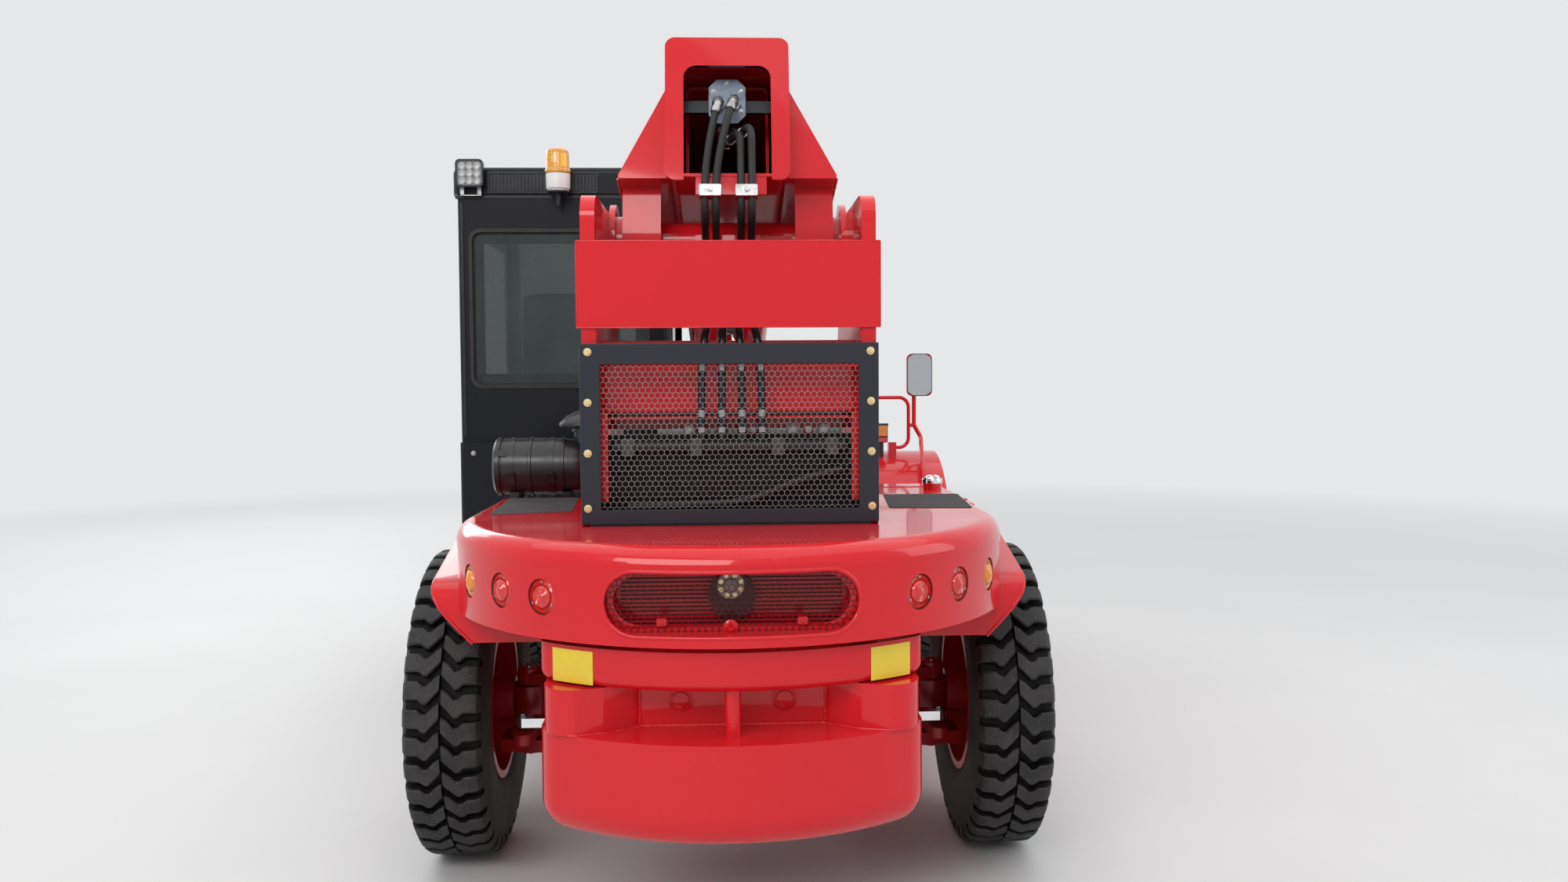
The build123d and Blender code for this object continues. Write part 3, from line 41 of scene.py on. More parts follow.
scene = bpy.context.scene
rearAxleY = -2.26  # station 0
frontAxle = 2.85  # station of the front axle
pivot = Vector((0, rearAxleY - 0.1, 2.045))
boomSlope = radians(12)
boomAlong = Vector((0, cos(boomSlope), -sin(boomSlope)))
boomUp = Vector((0, sin(boomSlope), cos(boomSlope)))
acrossX, alongY, upZ = Vector((1, 0, 0)), Vector((0, 1, 0)), Vector((0, 0, 1))


def spot(x, station, height):
    return Vector((x, rearAxleY + station, height))


def aroundX(turn):
    return Vector((0, cos(turn), sin(turn)))


def aroundZ(turn):
    return Vector((cos(turn), sin(turn), 0))


def onBoom(x, t, m):
    return pivot + Vector((x, 0, 0)) + boomAlong * t + boomUp * m


# shader groups
def startGroup(name, inputs, outputs):
    group = bpy.data.node_groups.new(name, "ShaderNodeTree")
    kinds = {"color": "NodeSocketColor", "value": "NodeSocketFloat", "vector": "NodeSocketVector"}
    for label, kind, start in inputs:
        socket = group.interface.new_socket(name=label, in_out="INPUT", socket_type=kinds[kind])
        socket.default_value = start
    for label, kind in outputs:
        group.interface.new_socket(name=label, in_out="OUTPUT", socket_type=kinds[kind])
    return group, group.nodes.new("NodeGroupInput"), group.nodes.new("NodeGroupOutput")


def closeGroup(group, outs, **results):
    for label, result in results.items():
        group.links.new(result, outs.inputs[label])
    return group


def addNode(tree, kind, settings=None, **values):
    node = tree.nodes.new(kind)
    for name, value in (settings or {}).items():
        setattr(node, name, value)
    for name, value in values.items():
        socket = node.inputs[int(name[1:])] if name[0] == "i" and name[1:].isdigit() else node.inputs[name]
        if isinstance(value, bpy.types.NodeSocket):
            tree.links.new(value, socket)
        else:
            socket.default_value = value
    return node


def noiseOf(tree, where, scale, detail=2.0, roughness=0.5):
    node = addNode(tree, "ShaderNodeTexNoise", Vector=where, Scale=scale, Detail=detail, Roughness=roughness)
    return node.outputs["Fac"]


def remap(tree, value, low, high, toLow=0.0, toHigh=1.0):
    node = addNode(tree, "ShaderNodeMapRange", i0=value, i1=low, i2=high, i3=toLow, i4=toHigh)
    return node.outputs[0]


def reckon(tree, kind, first, second=0.0):
    node = addNode(tree, "ShaderNodeMath", {"operation": kind}, i0=first, i1=second)
    return node.outputs[0]


def times(tree, first, second):
    return reckon(tree, "MULTIPLY", first, second)


def blendColor(tree, share, first, second, kind="MIX"):
    node = addNode(tree, "ShaderNodeMix", {"data_type": "RGBA", "blend_type": kind}, i0=share, i6=first,
        i7=second)
    return node.outputs[2]


def bumpOf(tree, height, strength, distance, normal=None):
    node = addNode(tree, "ShaderNodeBump", Height=height, Strength=strength, Distance=distance)
    if normal is not None:
        tree.links.new(normal, node.inputs["Normal"])
    return node.outputs["Normal"]


def objectPlace(tree):
    return tree.nodes.new("ShaderNodeTexCoord").outputs["Object"]


def settledDust(tree, where, amount):
    # dust lies on what faces up, in drifts
    facing = addNode(tree, "ShaderNodeSeparateXYZ",
        Vector=tree.nodes.new("ShaderNodeNewGeometry").outputs["Normal"])
    lying = remap(tree, facing.outputs["Z"], 0.1, 1.0)
    drift = remap(tree, noiseOf(tree, where, 3.5, 6.0, 0.62), 0.42, 0.72)
    return times(tree, times(tree, lying, drift), amount)


def makeSprayCoat():
    group, ins, outs = startGroup("sprayCoat",
        [("Color", "color", (0.7, 0.02, 0.03, 1)), ("Fade", "value", 0.1), ("Gloss", "value", 0.2),
            ("Peel", "value", 0.1), ("Dust", "value", 0.1), ("Dust Color", "color", (0.42, 0.38, 0.33, 1))],
            [("Color", "color"), ("Roughness", "value"), ("Normal", "vector")])
    where = objectPlace(group)
    cloud = remap(group, noiseOf(group, where, 1.3, 3.0), 0.3, 0.7)
    dark = blendColor(group, 1.0, ins.outputs["Color"], (0.80, 0.80, 0.80, 1), "MULTIPLY")
    coat = blendColor(group, times(group, cloud, ins.outputs["Fade"]), ins.outputs["Color"], dark)
    dust = settledDust(group, where, ins.outputs["Dust"])
    color = blendColor(group, dust, coat, ins.outputs["Dust Color"])
    smear = remap(group, noiseOf(group, where, 9.0, 4.0, 0.6), 0.35, 0.75, 0.0, 0.07)
    rough = reckon(group, "ADD", reckon(group, "ADD", ins.outputs["Gloss"], smear), times(group, dust, 0.9))
    peel = noiseOf(group, where, 240.0, 1.5)
    wave = noiseOf(group, where, 7.0, 2.0)
    normal = bumpOf(group, peel, ins.outputs["Peel"], 0.0006)
    normal = bumpOf(group, wave, times(group, ins.outputs["Peel"], 0.6), 0.004, normal)
    return closeGroup(group, outs, Color=color, Roughness=rough, Normal=normal)


def makeWornEdge():
    # a mask that shows bare metal along edges and in scratches
    group, ins, outs = startGroup("wornEdge",
        [("Amount", "value", 0.5), ("Width", "value", 0.004), ("Scratch", "value", 0.2)], [("Mask", "value")])
    where = objectPlace(group)
    soft = addNode(group, "ShaderNodeBevel", {"samples": 4}, Radius=ins.outputs["Width"])
    hard = group.nodes.new("ShaderNodeNewGeometry").outputs["Normal"]
    meet = addNode(group, "ShaderNodeVectorMath", {"operation": "DOT_PRODUCT"}, i0=soft.outputs[0], i1=hard)
    edge = remap(group, meet.outputs["Value"], 0.97, 0.80)
    patch = remap(group, noiseOf(group, where, 26.0, 5.0, 0.65), 0.42, 0.58)
    chipped = times(group, times(group, edge, patch), ins.outputs["Amount"])
    stretched = addNode(group, "ShaderNodeMapping", Vector=where, Scale=(90.0, 4.0, 90.0))
    line = remap(group, noiseOf(group, stretched.outputs[0], 1.0, 3.0, 0.7), 0.60, 0.72)
    scratched = times(group, line, ins.outputs["Scratch"])
    both = reckon(group, "MAXIMUM", chipped, scratched)
    return closeGroup(group, outs, Mask=both)


def makeRubberSkin():
    group, ins, outs = startGroup("rubberSkin",
        [("Color", "color", (0.02, 0.02, 0.02, 1)), ("Dust", "value", 0.3), ("Grain", "value", 220.0),
            ("Depth", "value", 0.3)], [("Color", "color"), ("Roughness", "value"), ("Normal", "vector")])
    where = objectPlace(group)
    patch = remap(group, noiseOf(group, where, 11.0, 7.0, 0.7), 0.42, 0.72)
    grey = blendColor(group, times(group, patch, ins.outputs["Dust"]), ins.outputs["Color"],
        (0.115, 0.110, 0.105, 1))
    speck = remap(group, noiseOf(group, where, 150.0, 3.0, 0.7), 0.60, 0.74)
    color = blendColor(group, times(group, speck, times(group, ins.outputs["Dust"], 0.9)), grey,
        (0.20, 0.19, 0.18, 1))
    rough = remap(group, patch, 0.0, 1.0, 0.58, 0.82)
    normal = bumpOf(group, noiseOf(group, where, ins.outputs["Grain"], 3.0, 0.6), ins.outputs["Depth"],
        0.0012)
    normal = bumpOf(group, noiseOf(group, where, 30.0, 3.0, 0.6), times(group, ins.outputs["Depth"], 0.7),
        0.003, normal)
    return closeGroup(group, outs, Color=color, Roughness=rough, Normal=normal)


def makeMetalSkin():
    group, ins, outs = startGroup("metalSkin",
        [("Color", "color", (0.6, 0.6, 0.6, 1)), ("Tarnish", "color", (0.25, 0.23, 0.2, 1)),
            ("Age", "value", 0.3), ("Gloss", "value", 0.25), ("Grain", "value", 0.15)],
            [("Color", "color"), ("Roughness", "value"), ("Normal", "vector")])
    where = objectPlace(group)
    cloud = remap(group, noiseOf(group, where, 34.0, 5.0, 0.65), 0.40, 0.66)
    age = times(group, cloud, ins.outputs["Age"])
    color = blendColor(group, age, ins.outputs["Color"], ins.outputs["Tarnish"])
    rough = reckon(group, "ADD", ins.outputs["Gloss"], times(group, age, 0.5))
    brushed = addNode(group, "ShaderNodeMapping", Vector=where, Scale=(60.0, 900.0, 60.0))
    normal = bumpOf(group, noiseOf(group, brushed.outputs[0], 1.0, 3.0), ins.outputs["Grain"], 0.0005)
    return closeGroup(group, outs, Color=color, Roughness=rough, Normal=normal)


def makeMouldedSkin():
    # moulded plastic, vinyl or grit, by grain size and depth
    group, ins, outs = startGroup("mouldedSkin",
        [("Color", "color", (0.03, 0.03, 0.03, 1)), ("Grain", "value", 400.0), ("Depth", "value", 0.2),
            ("Gloss", "value", 0.5), ("Sparkle", "value", 0.0)],
            [("Color", "color"), ("Roughness", "value"), ("Normal", "vector")])
    where = objectPlace(group)
    cell = addNode(group, "ShaderNodeTexVoronoi", Vector=where,
        Scale=ins.outputs["Grain"]).outputs["Distance"]
    lit = remap(group, noiseOf(group, where, 5.0, 5.0, 0.6), 0.35, 0.7, 0.0, 0.14)
    tone = blendColor(group, lit, ins.outputs["Color"], (0.10, 0.10, 0.105, 1))
    glint = times(group, remap(group, cell, 0.16, 0.05), ins.outputs["Sparkle"])
    color = blendColor(group, glint, tone, (0.30, 0.30, 0.31, 1))
    rough = reckon(group, "ADD", ins.outputs["Gloss"],
        remap(group, noiseOf(group, where, 14.0, 3.0), 0.3, 0.7, -0.05, 0.08))
    normal = bumpOf(group, cell, ins.outputs["Depth"], 0.0008)
    return closeGroup(group, outs, Color=color, Roughness=rough, Normal=normal)


shaderGroups = {
    "sprayCoat": makeSprayCoat(), "wornEdge": makeWornEdge(), "rubberSkin": makeRubberSkin(),
    "metalSkin": makeMetalSkin(), "mouldedSkin": makeMouldedSkin()}
print("shader groups built")


# materials
def newMaterial(name, skin, values, shader=None, wear=None):
    material = bpy.data.materials.new(name)
    material.use_nodes = True
    tree = material.node_tree
    surface = tree.nodes["Principled BSDF"]
    for label, value in (shader or {}).items():
        surface.inputs[label].default_value = value
    group = tree.nodes.new("ShaderNodeGroup")
    group.node_tree = shaderGroups[skin]
    for label, value in values.items():
        group.inputs[label].default_value = value
    color, rough = group.outputs["Color"], group.outputs["Roughness"]
    if wear:
        edges = tree.nodes.new("ShaderNodeGroup")
        edges.node_tree = shaderGroups["wornEdge"]
        for label, value in wear.items():
            edges.inputs[label].default_value = value
        mask = edges.outputs["Mask"]
        color = blendColor(tree, mask, color, (0.33, 0.32, 0.31, 1))
        tree.links.new(times(tree, mask, 0.85), surface.inputs["Metallic"])
    tree.links.new(color, surface.inputs["Base Color"])
    tree.links.new(rough, surface.inputs["Roughness"])
    tree.links.new(group.outputs["Normal"], surface.inputs["Normal"])
    return material


# what each coat, rubber, metal or plastic is, in the order of its group's inputs
inputNames = {
    "sprayCoat": ("Color", "Fade", "Gloss", "Peel", "Dust", "Dust Color"),
    "rubberSkin": ("Color", "Dust", "Grain", "Depth"),
    "metalSkin": ("Color", "Tarnish", "Age", "Gloss", "Grain"),
    "mouldedSkin": ("Color", "Grain", "Depth", "Gloss", "Sparkle")}
recipes = {
    "sprayCoat": {
        "redPaint": ((0.68, 0.010, 0.018, 1), 0.25, 0.20, 0.08, 0.06, (0.62, 0.30, 0.28, 1)),
        # a darker, dustier copy of the red paint for rims and hubs: partly painted shade, partly real dust
        # and edge wear
        "wheelShadeRed": ((0.50, 0.010, 0.016, 1), 0.5, 0.3, 0.2, 0.4, (0.30, 0.16, 0.14, 1)),
        # a darker copy of the red paint for the axles and knuckles under the machine: painted shade, with
        # some real dust
        "underShadeRed": ((0.34, 0.008, 0.012, 1), 0.8, 0.34, 0.3, 0.3, (0.20, 0.10, 0.09, 1)),
        "cabBlack": ((0.009, 0.010, 0.015, 1), 0.4, 0.34, 0.25, 0.10, (0.09, 0.09, 0.10, 1)),
        "frameGrey": ((0.013, 0.016, 0.026, 1), 0.3, 0.30, 0.2, 0.1, (0.10, 0.10, 0.12, 1)),
        "satinBlack": ((0.012, 0.014, 0.020, 1), 0.3, 0.30, 0.2, 0.15, (0.14, 0.13, 0.12, 1)),
        "forkBlack": ((0.016, 0.016, 0.018, 1), 0.3, 0.36, 0.3, 0.2),
        "castIron": ((0.06, 0.06, 0.062, 1), 0.6, 0.5, 1.0, 0.5),
        "redMesh": ((0.085, 0.012, 0.014, 1), 0.5, 0.3, 0.1, 0.1, (0.2, 0.1, 0.1, 1)),
    },
    "rubberSkin": {
        "tyreRubber": ((0.020, 0.020, 0.021, 1), 0.42, 210.0, 0.9),
        # a darker copy of the tyre rubber: painted shade in the tyre's grooves and on the lug flanks, and on
        # the engine-bay shroud
        "deepShadeRubber": ((0.006, 0.006, 0.006, 1), 0.10, 210.0, 0.6),
        "hoseRubber": ((0.012, 0.012, 0.013, 1), 0.15, 500.0, 0.3),
        "sealRubber": ((0.010, 0.010, 0.011, 1), 0.10, 600.0, 0.15),
    },
    "metalSkin": {
        "bareSteel": ((0.44, 0.44, 0.45, 1), (0.22, 0.21, 0.20, 1), 0.5, 0.24, 0.2),
        "chromeRod": ((0.78, 0.79, 0.80, 1), (0.5, 0.5, 0.5, 1), 0.15, 0.07, 0.05),
        "brassPlate": ((0.83, 0.68, 0.36, 1), (0.55, 0.42, 0.22, 1), 0.4, 0.27, 0.2),
        "meshSteel": ((0.32, 0.29, 0.29, 1), (0.14, 0.10, 0.10, 1), 0.5, 0.30, 0.1),
        "castAlloy": ((0.30, 0.25, 0.25, 1), (0.18, 0.13, 0.13, 1), 0.3, 0.42, 0.4),
        "greyZinc": ((0.20, 0.24, 0.31, 1), (0.12, 0.14, 0.19, 1), 0.5, 0.34, 0.3),
        "mirrorFace": ((0.46, 0.48, 0.50, 1), (0.36, 0.37, 0.38, 1), 0.1, 0.02, 0.0),
        "reflector": ((0.85, 0.85, 0.84, 1), (0.5, 0.5, 0.5, 1), 0.2, 0.12, 0.0),
    },
    "mouldedSkin": {
        "darkPlastic": ((0.020, 0.020, 0.022, 1), 700.0, 0.2, 0.42, 0.0),
        "glossPlastic": ((0.010, 0.010, 0.012, 1), 90.0, 0.02, 0.30, 0.0),
        "seatVinyl": ((0.022, 0.022, 0.024, 1), 420.0, 0.45, 0.48, 0.0),
        "gripTape": ((0.028, 0.028, 0.031, 1), 900.0, 1.0, 0.72, 0.35),
        "plateYellow": ((0.86, 0.66, 0.02, 1), 60.0, 0.02, 0.28, 0.0),
        "whitePlastic": ((0.80, 0.80, 0.78, 1), 500.0, 0.05, 0.35, 0.0),
    },
}
shaderValues = {
    "redPaint": {"Coat Weight": 0.62, "Coat Roughness": 0.05, "Specular IOR Level": 0.10},
    "wheelShadeRed": {"Coat Weight": 0.5, "Coat Roughness": 0.2, "Specular IOR Level": 0.25},
    "underShadeRed": {"Coat Weight": 0.3, "Coat Roughness": 0.2, "Specular IOR Level": 0.25},
    "cabBlack": {"Coat Weight": 0.16, "Coat Roughness": 0.16, "Specular IOR Level": 0.12},
    "frameGrey": {"Coat Weight": 0.45, "Coat Roughness": 0.12, "Specular IOR Level": 0.25},
    "satinBlack": {"Coat Weight": 0.3, "Coat Roughness": 0.2, "Specular IOR Level": 0.25},
    "forkBlack": {"Coat Weight": 0.1},
    "tyreRubber": {"Specular IOR Level": 0.35},
    "deepShadeRubber": {"Specular IOR Level": 0.15},
    "bareSteel": {"Metallic": 1.0},
    "chromeRod": {"Metallic": 1.0},
    "brassPlate": {"Metallic": 1.0},
    "meshSteel": {"Metallic": 0.8},
    "castAlloy": {"Metallic": 0.1},
    "redMesh": {"Coat Weight": 0.15, "Specular IOR Level": 0.25},
    "greyZinc": {"Metallic": 0.35},
    "mirrorFace": {"Metallic": 1.0},
    "seatVinyl": {"Sheen Weight": 0.15},
    "plateYellow": {"Coat Weight": 0.4},
    "reflector": {"Metallic": 1.0},
}
wearValues = {
    "wheelShadeRed": {"Amount": 0.6, "Width": 0.003, "Scratch": 0.05},
    "forkBlack": {"Amount": 1.0, "Width": 0.006, "Scratch": 0.45},
}


def fromRecipe(name, skin, recipe):
    values = dict(zip(inputNames[skin], recipes[skin][recipe]))
    return newMaterial(name, skin, values, shaderValues.get(recipe), wearValues.get(recipe))


paints = {name: fromRecipe(name, skin, name) for skin in recipes for name in recipes[skin]}


def tintedMaterial(name, tone, clear, rough, lines=0.0, extra=None):
    # lenses and panes: fine ripples on a clear or coloured body
    material = bpy.data.materials.new(name)
    material.use_nodes = True
    tree = material.node_tree
    surface = tree.nodes["Principled BSDF"]
    surface.inputs["Transmission Weight"].default_value = clear
    surface.inputs["IOR"].default_value = 1.45
    for label, value in (extra or {}).items():
        surface.inputs[label].default_value = value
    where = objectPlace(tree)
    ripple = noiseOf(tree, where, 60.0, 2.0)
    shade = blendColor(tree, remap(tree, noiseOf(tree, where, 8.0, 3.0), 0.3, 0.7, 0.0, 0.35), tone,
        tuple(c * 0.75 for c in tone[:3]) + (1,))
    tree.links.new(shade, surface.inputs["Base Color"])
    tree.links.new(remap(tree, ripple, 0.3, 0.7, rough, rough + 0.06), surface.inputs["Roughness"])
    if lines:
        tree.links.new(bumpOf(tree, ripple, lines, 0.001), surface.inputs["Normal"])
    return material


lensCoat = {"Coat Weight": 1.0, "Coat Roughness": 0.03}
lenses = {
    "redLens": ((0.74, 0.016, 0.010, 1), 0.10, 0.05, 0.15, lensCoat),
    "amberLens": ((0.92, 0.30, 0.008, 1), 0.10, 0.05, 0.15, lensCoat),
    "beaconLens": ((1.0, 0.47, 0.010, 1), 0.35, 0.06, 0.1, lensCoat),
    "clearLens": ((0.80, 0.82, 0.82, 1), 0.85, 0.10, 0.5),
}
paints.update({name: tintedMaterial(name, *values) for name, values in lenses.items()})


def makePane():
    # window glass that lets the view and the light through, with a faint film of dust
    material = bpy.data.materials.new("windowGlass")
    material.use_nodes = True
    tree = material.node_tree
    surface = tree.nodes["Principled BSDF"]
    surface.inputs["IOR"].default_value = 1.45
    surface.inputs["Coat Weight"].default_value = 1.0
    surface.inputs["Coat Roughness"].default_value = 0.02
    where = objectPlace(tree)
    film = remap(tree, noiseOf(tree, where, 4.0, 6.0, 0.6), 0.35, 0.75)
    tree.links.new(blendColor(tree, film, (0.008, 0.026, 0.026, 1), (0.030, 0.056, 0.054, 1)),
        surface.inputs["Base Color"])
    tree.links.new(remap(tree, film, 0.0, 1.0, 0.02, 0.10), surface.inputs["Roughness"])
    tree.links.new(remap(tree, film, 0.0, 1.0, 0.56, 0.66), surface.inputs["Alpha"])
    return material


paints["windowGlass"] = makePane()


def makeBoomRed():
    # red outside and dark inside the tube, by place square to the boom
    material = fromRecipe("boomRed", "sprayCoat", "redPaint")
    tree = material.node_tree
    surface = tree.nodes["Principled BSDF"]
    painted = surface.inputs["Base Color"].links[0].from_socket
    apart = addNode(tree, "ShaderNodeVectorMath", {"operation": "SUBTRACT"}, i0=objectPlace(tree), i1=pivot)
    height = addNode(tree, "ShaderNodeVectorMath", {"operation": "DOT_PRODUCT"}, i0=apart.outputs[0],
        i1=boomUp).outputs["Value"]
    sideways = addNode(tree, "ShaderNodeSeparateXYZ", Vector=apart.outputs[0]).outputs["X"]
    along = addNode(tree, "ShaderNodeVectorMath", {"operation": "DOT_PRODUCT"}, i0=apart.outputs[0],
        i1=boomAlong).outputs["Value"]
    behindCap = reckon(tree, "GREATER_THAN", along, -0.296)
    within = reckon(tree, "LESS_THAN", reckon(tree, "ABSOLUTE", sideways), 0.1775)
    level = reckon(tree, "LESS_THAN", reckon(tree, "ABSOLUTE", reckon(tree, "SUBTRACT", height, 0.345)),
        0.2175)
    tree.links.new(blendColor(tree, times(tree, behindCap, times(tree, within, level)), painted,
        (0.012, 0.010, 0.011, 1)), surface.inputs["Base Color"])
    return material


paints["boomRed"] = makeBoomRed()
print("materials built:", len(paints))


# shapes
def startShape():
    return bmesh.new()


def finishShape(name, shape, finishes, body="chassis", sharp=35, edge=None, stands=()):
    # turns a bmesh into a piece that rides on a body
    bmesh.ops.recalc_face_normals(shape, faces=shape.faces)
    mesh = bpy.data.meshes.new(name)
    shape.to_mesh(mesh)
    shape.free()
    for label in finishes if isinstance(finishes, (list, tuple)) else [finishes]:
        mesh.materials.append(paints[label])
    mesh.polygons.foreach_set("use_smooth", [True] * len(mesh.polygons))
    mesh.set_sharp_from_angle(angle=radians(sharp))
    piece = bpy.data.objects.new(name, mesh)
    scene.collection.objects.link(piece)
    if edge:
        softened = piece.modifiers.new("softEdge", "BEVEL")
        softened.width, softened.segments, softened.limit_method = edge, 2, "ANGLE"
        softened.angle_limit = radians(40)
        softened.harden_normals = True
    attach(piece, body)
    if stands:
        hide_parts(*stands)
    return piece


def planeAt(origin, across, up):
    across, up = Vector(across).normalized(), Vector(up).normalized()
    out = across.cross(up)
    return Matrix(((across.x, up.x, out.x, origin[0]), (across.y, up.y, out.y, origin[1]),
        (across.z, up.z, out.z, origin[2]), (0, 0, 0, 1)))


def rearPlane(x, station, height):
    # faces the rear: across is +X and up is +Z, so its normal points back
    return planeAt(spot(x, station, height), (1, 0, 0), (0, 0, 1))


def addFace(shape, corners, paint=0):
    if len(set(corners)) > 2:
        face = shape.faces.new(corners)
        face.material_index = paint
        return face


def ringAt(shape, middle, sideA, sideB, radius, turns):
    angles = [tau * step / turns for step in range(turns)]
    return [shape.verts.new(middle + (sideA * cos(turn) + sideB * sin(turn)) * radius) for turn in angles]


def skinRows(shape, rows, paint=0, loop=True):
    # faces between rows of points; a row of one point is a tip
    for first, second in zip(rows, rows[1:]):
        count = max(len(first), len(second))
        for step in range(count if loop else count - 1):
            after = (step + 1) % count
            corners = [row[place % len(row)] for row,
                place in ((first, step), (first, after), (second, after), (second, step))]
            addFace(shape, tuple(dict.fromkeys(corners)), paint)


def lathe(shape, profile, origin, direction, turns=32, paint=0, closed=False):
    # profile points are distance along the axis and radius
    direction = Vector(direction).normalized()
    sideA = Vector((1, 0, 0)) if abs(direction.x) < 0.9 else Vector((0, 0, 1))
    sideA = (sideA - direction * sideA.dot(direction)).normalized()
    sideB = direction.cross(sideA)
    rings = []
    for along, radius in profile:
        middle = Vector(origin) + direction * along
        if radius < 1e-6:
            rings.append([shape.verts.new(middle)])
            continue
        rings.append(ringAt(shape, middle, sideA, sideB, radius, turns))
    skinRows(shape, rings + (rings[:1] if closed else []), paint)


def puck(shape, profile, origin, direction, turns=32, paint=0):
    # turned shape with both ends closed
    lathe(shape, [(profile[0][0], 0), *profile, (profile[-1][0], 0)], origin, direction, turns, paint)


def prism(shape, outline, plane, depth, paint=0, start=0.0):
    low = [shape.verts.new(plane @ Vector((u, v, start))) for u, v in outline]
    high = [shape.verts.new(plane @ Vector((u, v, start + depth))) for u, v in outline]
    addFace(shape, low[::-1], paint)
    addFace(shape, high, paint)
    for step in range(len(outline)):
        after = (step + 1) % len(outline)
        addFace(shape, (low[step], low[after], high[after], high[step]), paint)


def frameRing(shape, outer, inner, plane, depth, paint=0, start=0.0):
    # a flat ring between two outlines with as many points each
    rows = [[shape.verts.new(plane @ Vector((u, v, level))) for u, v in line] for line,
        level in ((outer, start), (outer, start + depth), (inner, start + depth), (inner, start))]
    skinRows(shape, rows + rows[:1], paint)


def roundedBox(width, height, radius, steps=5, middle=(0.0, 0.0)):
    points = []
    for cornerX, cornerY, start in ((1, 1, 0), (-1, 1, 90), (-1, -1, 180), (1, -1, 270)):
        for step in range(steps + 1):
            turn = radians(start + 90 * step / steps)
            points.append((middle[0] + cornerX * (width / 2 - radius) + radius * cos(turn),
                middle[1] + cornerY * (height / 2 - radius) + radius * sin(turn)))
    return points


def boxAt(shape, low, high, paint=0):
    # a plain block between two corners, each x, station and height
    low, high = spot(*low), spot(*high)
    prism(shape, [(low[0], low[1]), (high[0], low[1]), (high[0], high[1]), (low[0], high[1])],
        Matrix.Identity(4), high[2] - low[2], paint, low[2])


def bolt(shape, place, normal, size, paint=0, washer=True, head=0.62):
    normal = Vector(normal).normalized()
    lift = 0.0
    if washer:
        lift = size * 0.18
        puck(shape, [(0, size * 1.35), (lift, size * 1.35)], place, normal, 20, paint)
    tall = size * head
    lathe(shape, [(lift, 0), (lift, size), (lift + tall * 0.8, size), (lift + tall, size * 0.84),
        (lift + tall * 0.92, 0)], place, normal, 6, paint)


def tube(shape, points, radius, sides=12, paint=0, caps=True):
    # a round bar along the points, its section carried from one to the next
    points = [Vector(p) for p in points]
    heading = (points[1] - points[0]).normalized()
    sideA = heading.orthogonal().normalized()
    rings = []
    for index, point in enumerate(points):
        before = points[max(index - 1, 0)]
        after = points[min(index + 1, len(points) - 1)]
        now = (after - before).normalized()
        sideA = (sideA - now * sideA.dot(now)).normalized()
        sideB = now.cross(sideA)
        size = radius[index] if isinstance(radius, (list, tuple)) else radius
        rings.append(ringAt(shape, point, sideA, sideB, size, sides))
    skinRows(shape, rings, paint)
    if caps:
        addFace(shape, rings[0][::-1], paint)
        addFace(shape, rings[-1], paint)


def bentPath(corners, bend, steps=6):
    # straight runs joined by arcs
    corners = [Vector(c) for c in corners]
    path = [corners[0]]
    for before, corner, after in zip(corners, corners[1:], corners[2:]):
        inward, outward = (before - corner), (after - corner)
        reach = min(bend, inward.length * 0.49, outward.length * 0.49)
        start, end = corner + inward.normalized() * reach, corner + outward.normalized() * reach
        for step in range(steps + 1):
            share = step / steps
            path.append(start.lerp(corner, share).lerp(corner.lerp(end, share), share))
    path.append(corners[-1])
    return path


# carried-over solids get their finishes
nodeFinish = {
    "redPaint": ["rear_hood", "counterweight", "name_board", "rear_fender_left", "rear_fender_right",
        "front_fender_left",
                 "front_fender_right", "fuel_tank", "chassis_frame", "boom_middle", "boom_inner", "handrail",
                 "right_mirror"],
    "boomRed": ["boom_base"],
    # axles and knuckles take the darker red: painted shade
    "underShadeRed": ["front_axle", "steer_axle", "knuckle_left", "knuckle_right"],
    # rims take the darker red: painted shade
    "wheelShadeRed": ["rim_front_left", "rim_front_right", "rim_rear_left", "rim_rear_right"],
    "cabBlack": ["cab_shell", "cab_roof", "cab_door"],
    "satinBlack": ["extension_cylinder", "battery_box", "lift_barrel", "tilt_barrel", "steer_cylinder",
        "work_lamps", "air_cleaner",
                   "turn_lamps"],
    "redMesh": ["radiator"],
    "frameGrey": ["rear_grille"],
    "meshSteel": ["hood_grille"],
    "castIron": ["engine"],
    "chromeRod": ["lift_rod", "tilt_rod", "steer_rod"],
    "forkBlack": ["forks", "fork_carriage"],
    "windowGlass": ["cab_glass", "door_glass"],
    "seatVinyl": ["operator_seat"],
    "darkPlastic": ["control_console"],
    "amberLens": ["beacon"],
    "redLens": ["tail_lamps"],
    "hoseRubber": ["boom_hose_1", "boom_hose_2", "boom_hose_3", "boom_hose_4"],
    "tyreRubber": ["tyre_front_left", "tyre_front_right", "tyre_rear_left", "tyre_rear_right"],
}
for label, members in nodeFinish.items():
    for member in members:
        slots = nodes[member].data.materials
        if not len(slots):
            slots.append(None)
        for index in range(len(slots)):
            slots[index] = paints[label]
print("solids finished")


# tyres
tyre = {
    "rearRadius": 0.509, "rearWidth": 0.259, "rearTread": 0.204, "rearTrack": 1.776,
    "frontRadius": 0.5625, "frontWidth": 0.315, "frontTread": 0.250, "frontTrack": 2.084,
    "bead": 0.254, "lugs": 37, "lugDepth": 0.030, "lugFill": 0.60, "split": 0.006, "swing": 0.84,
}


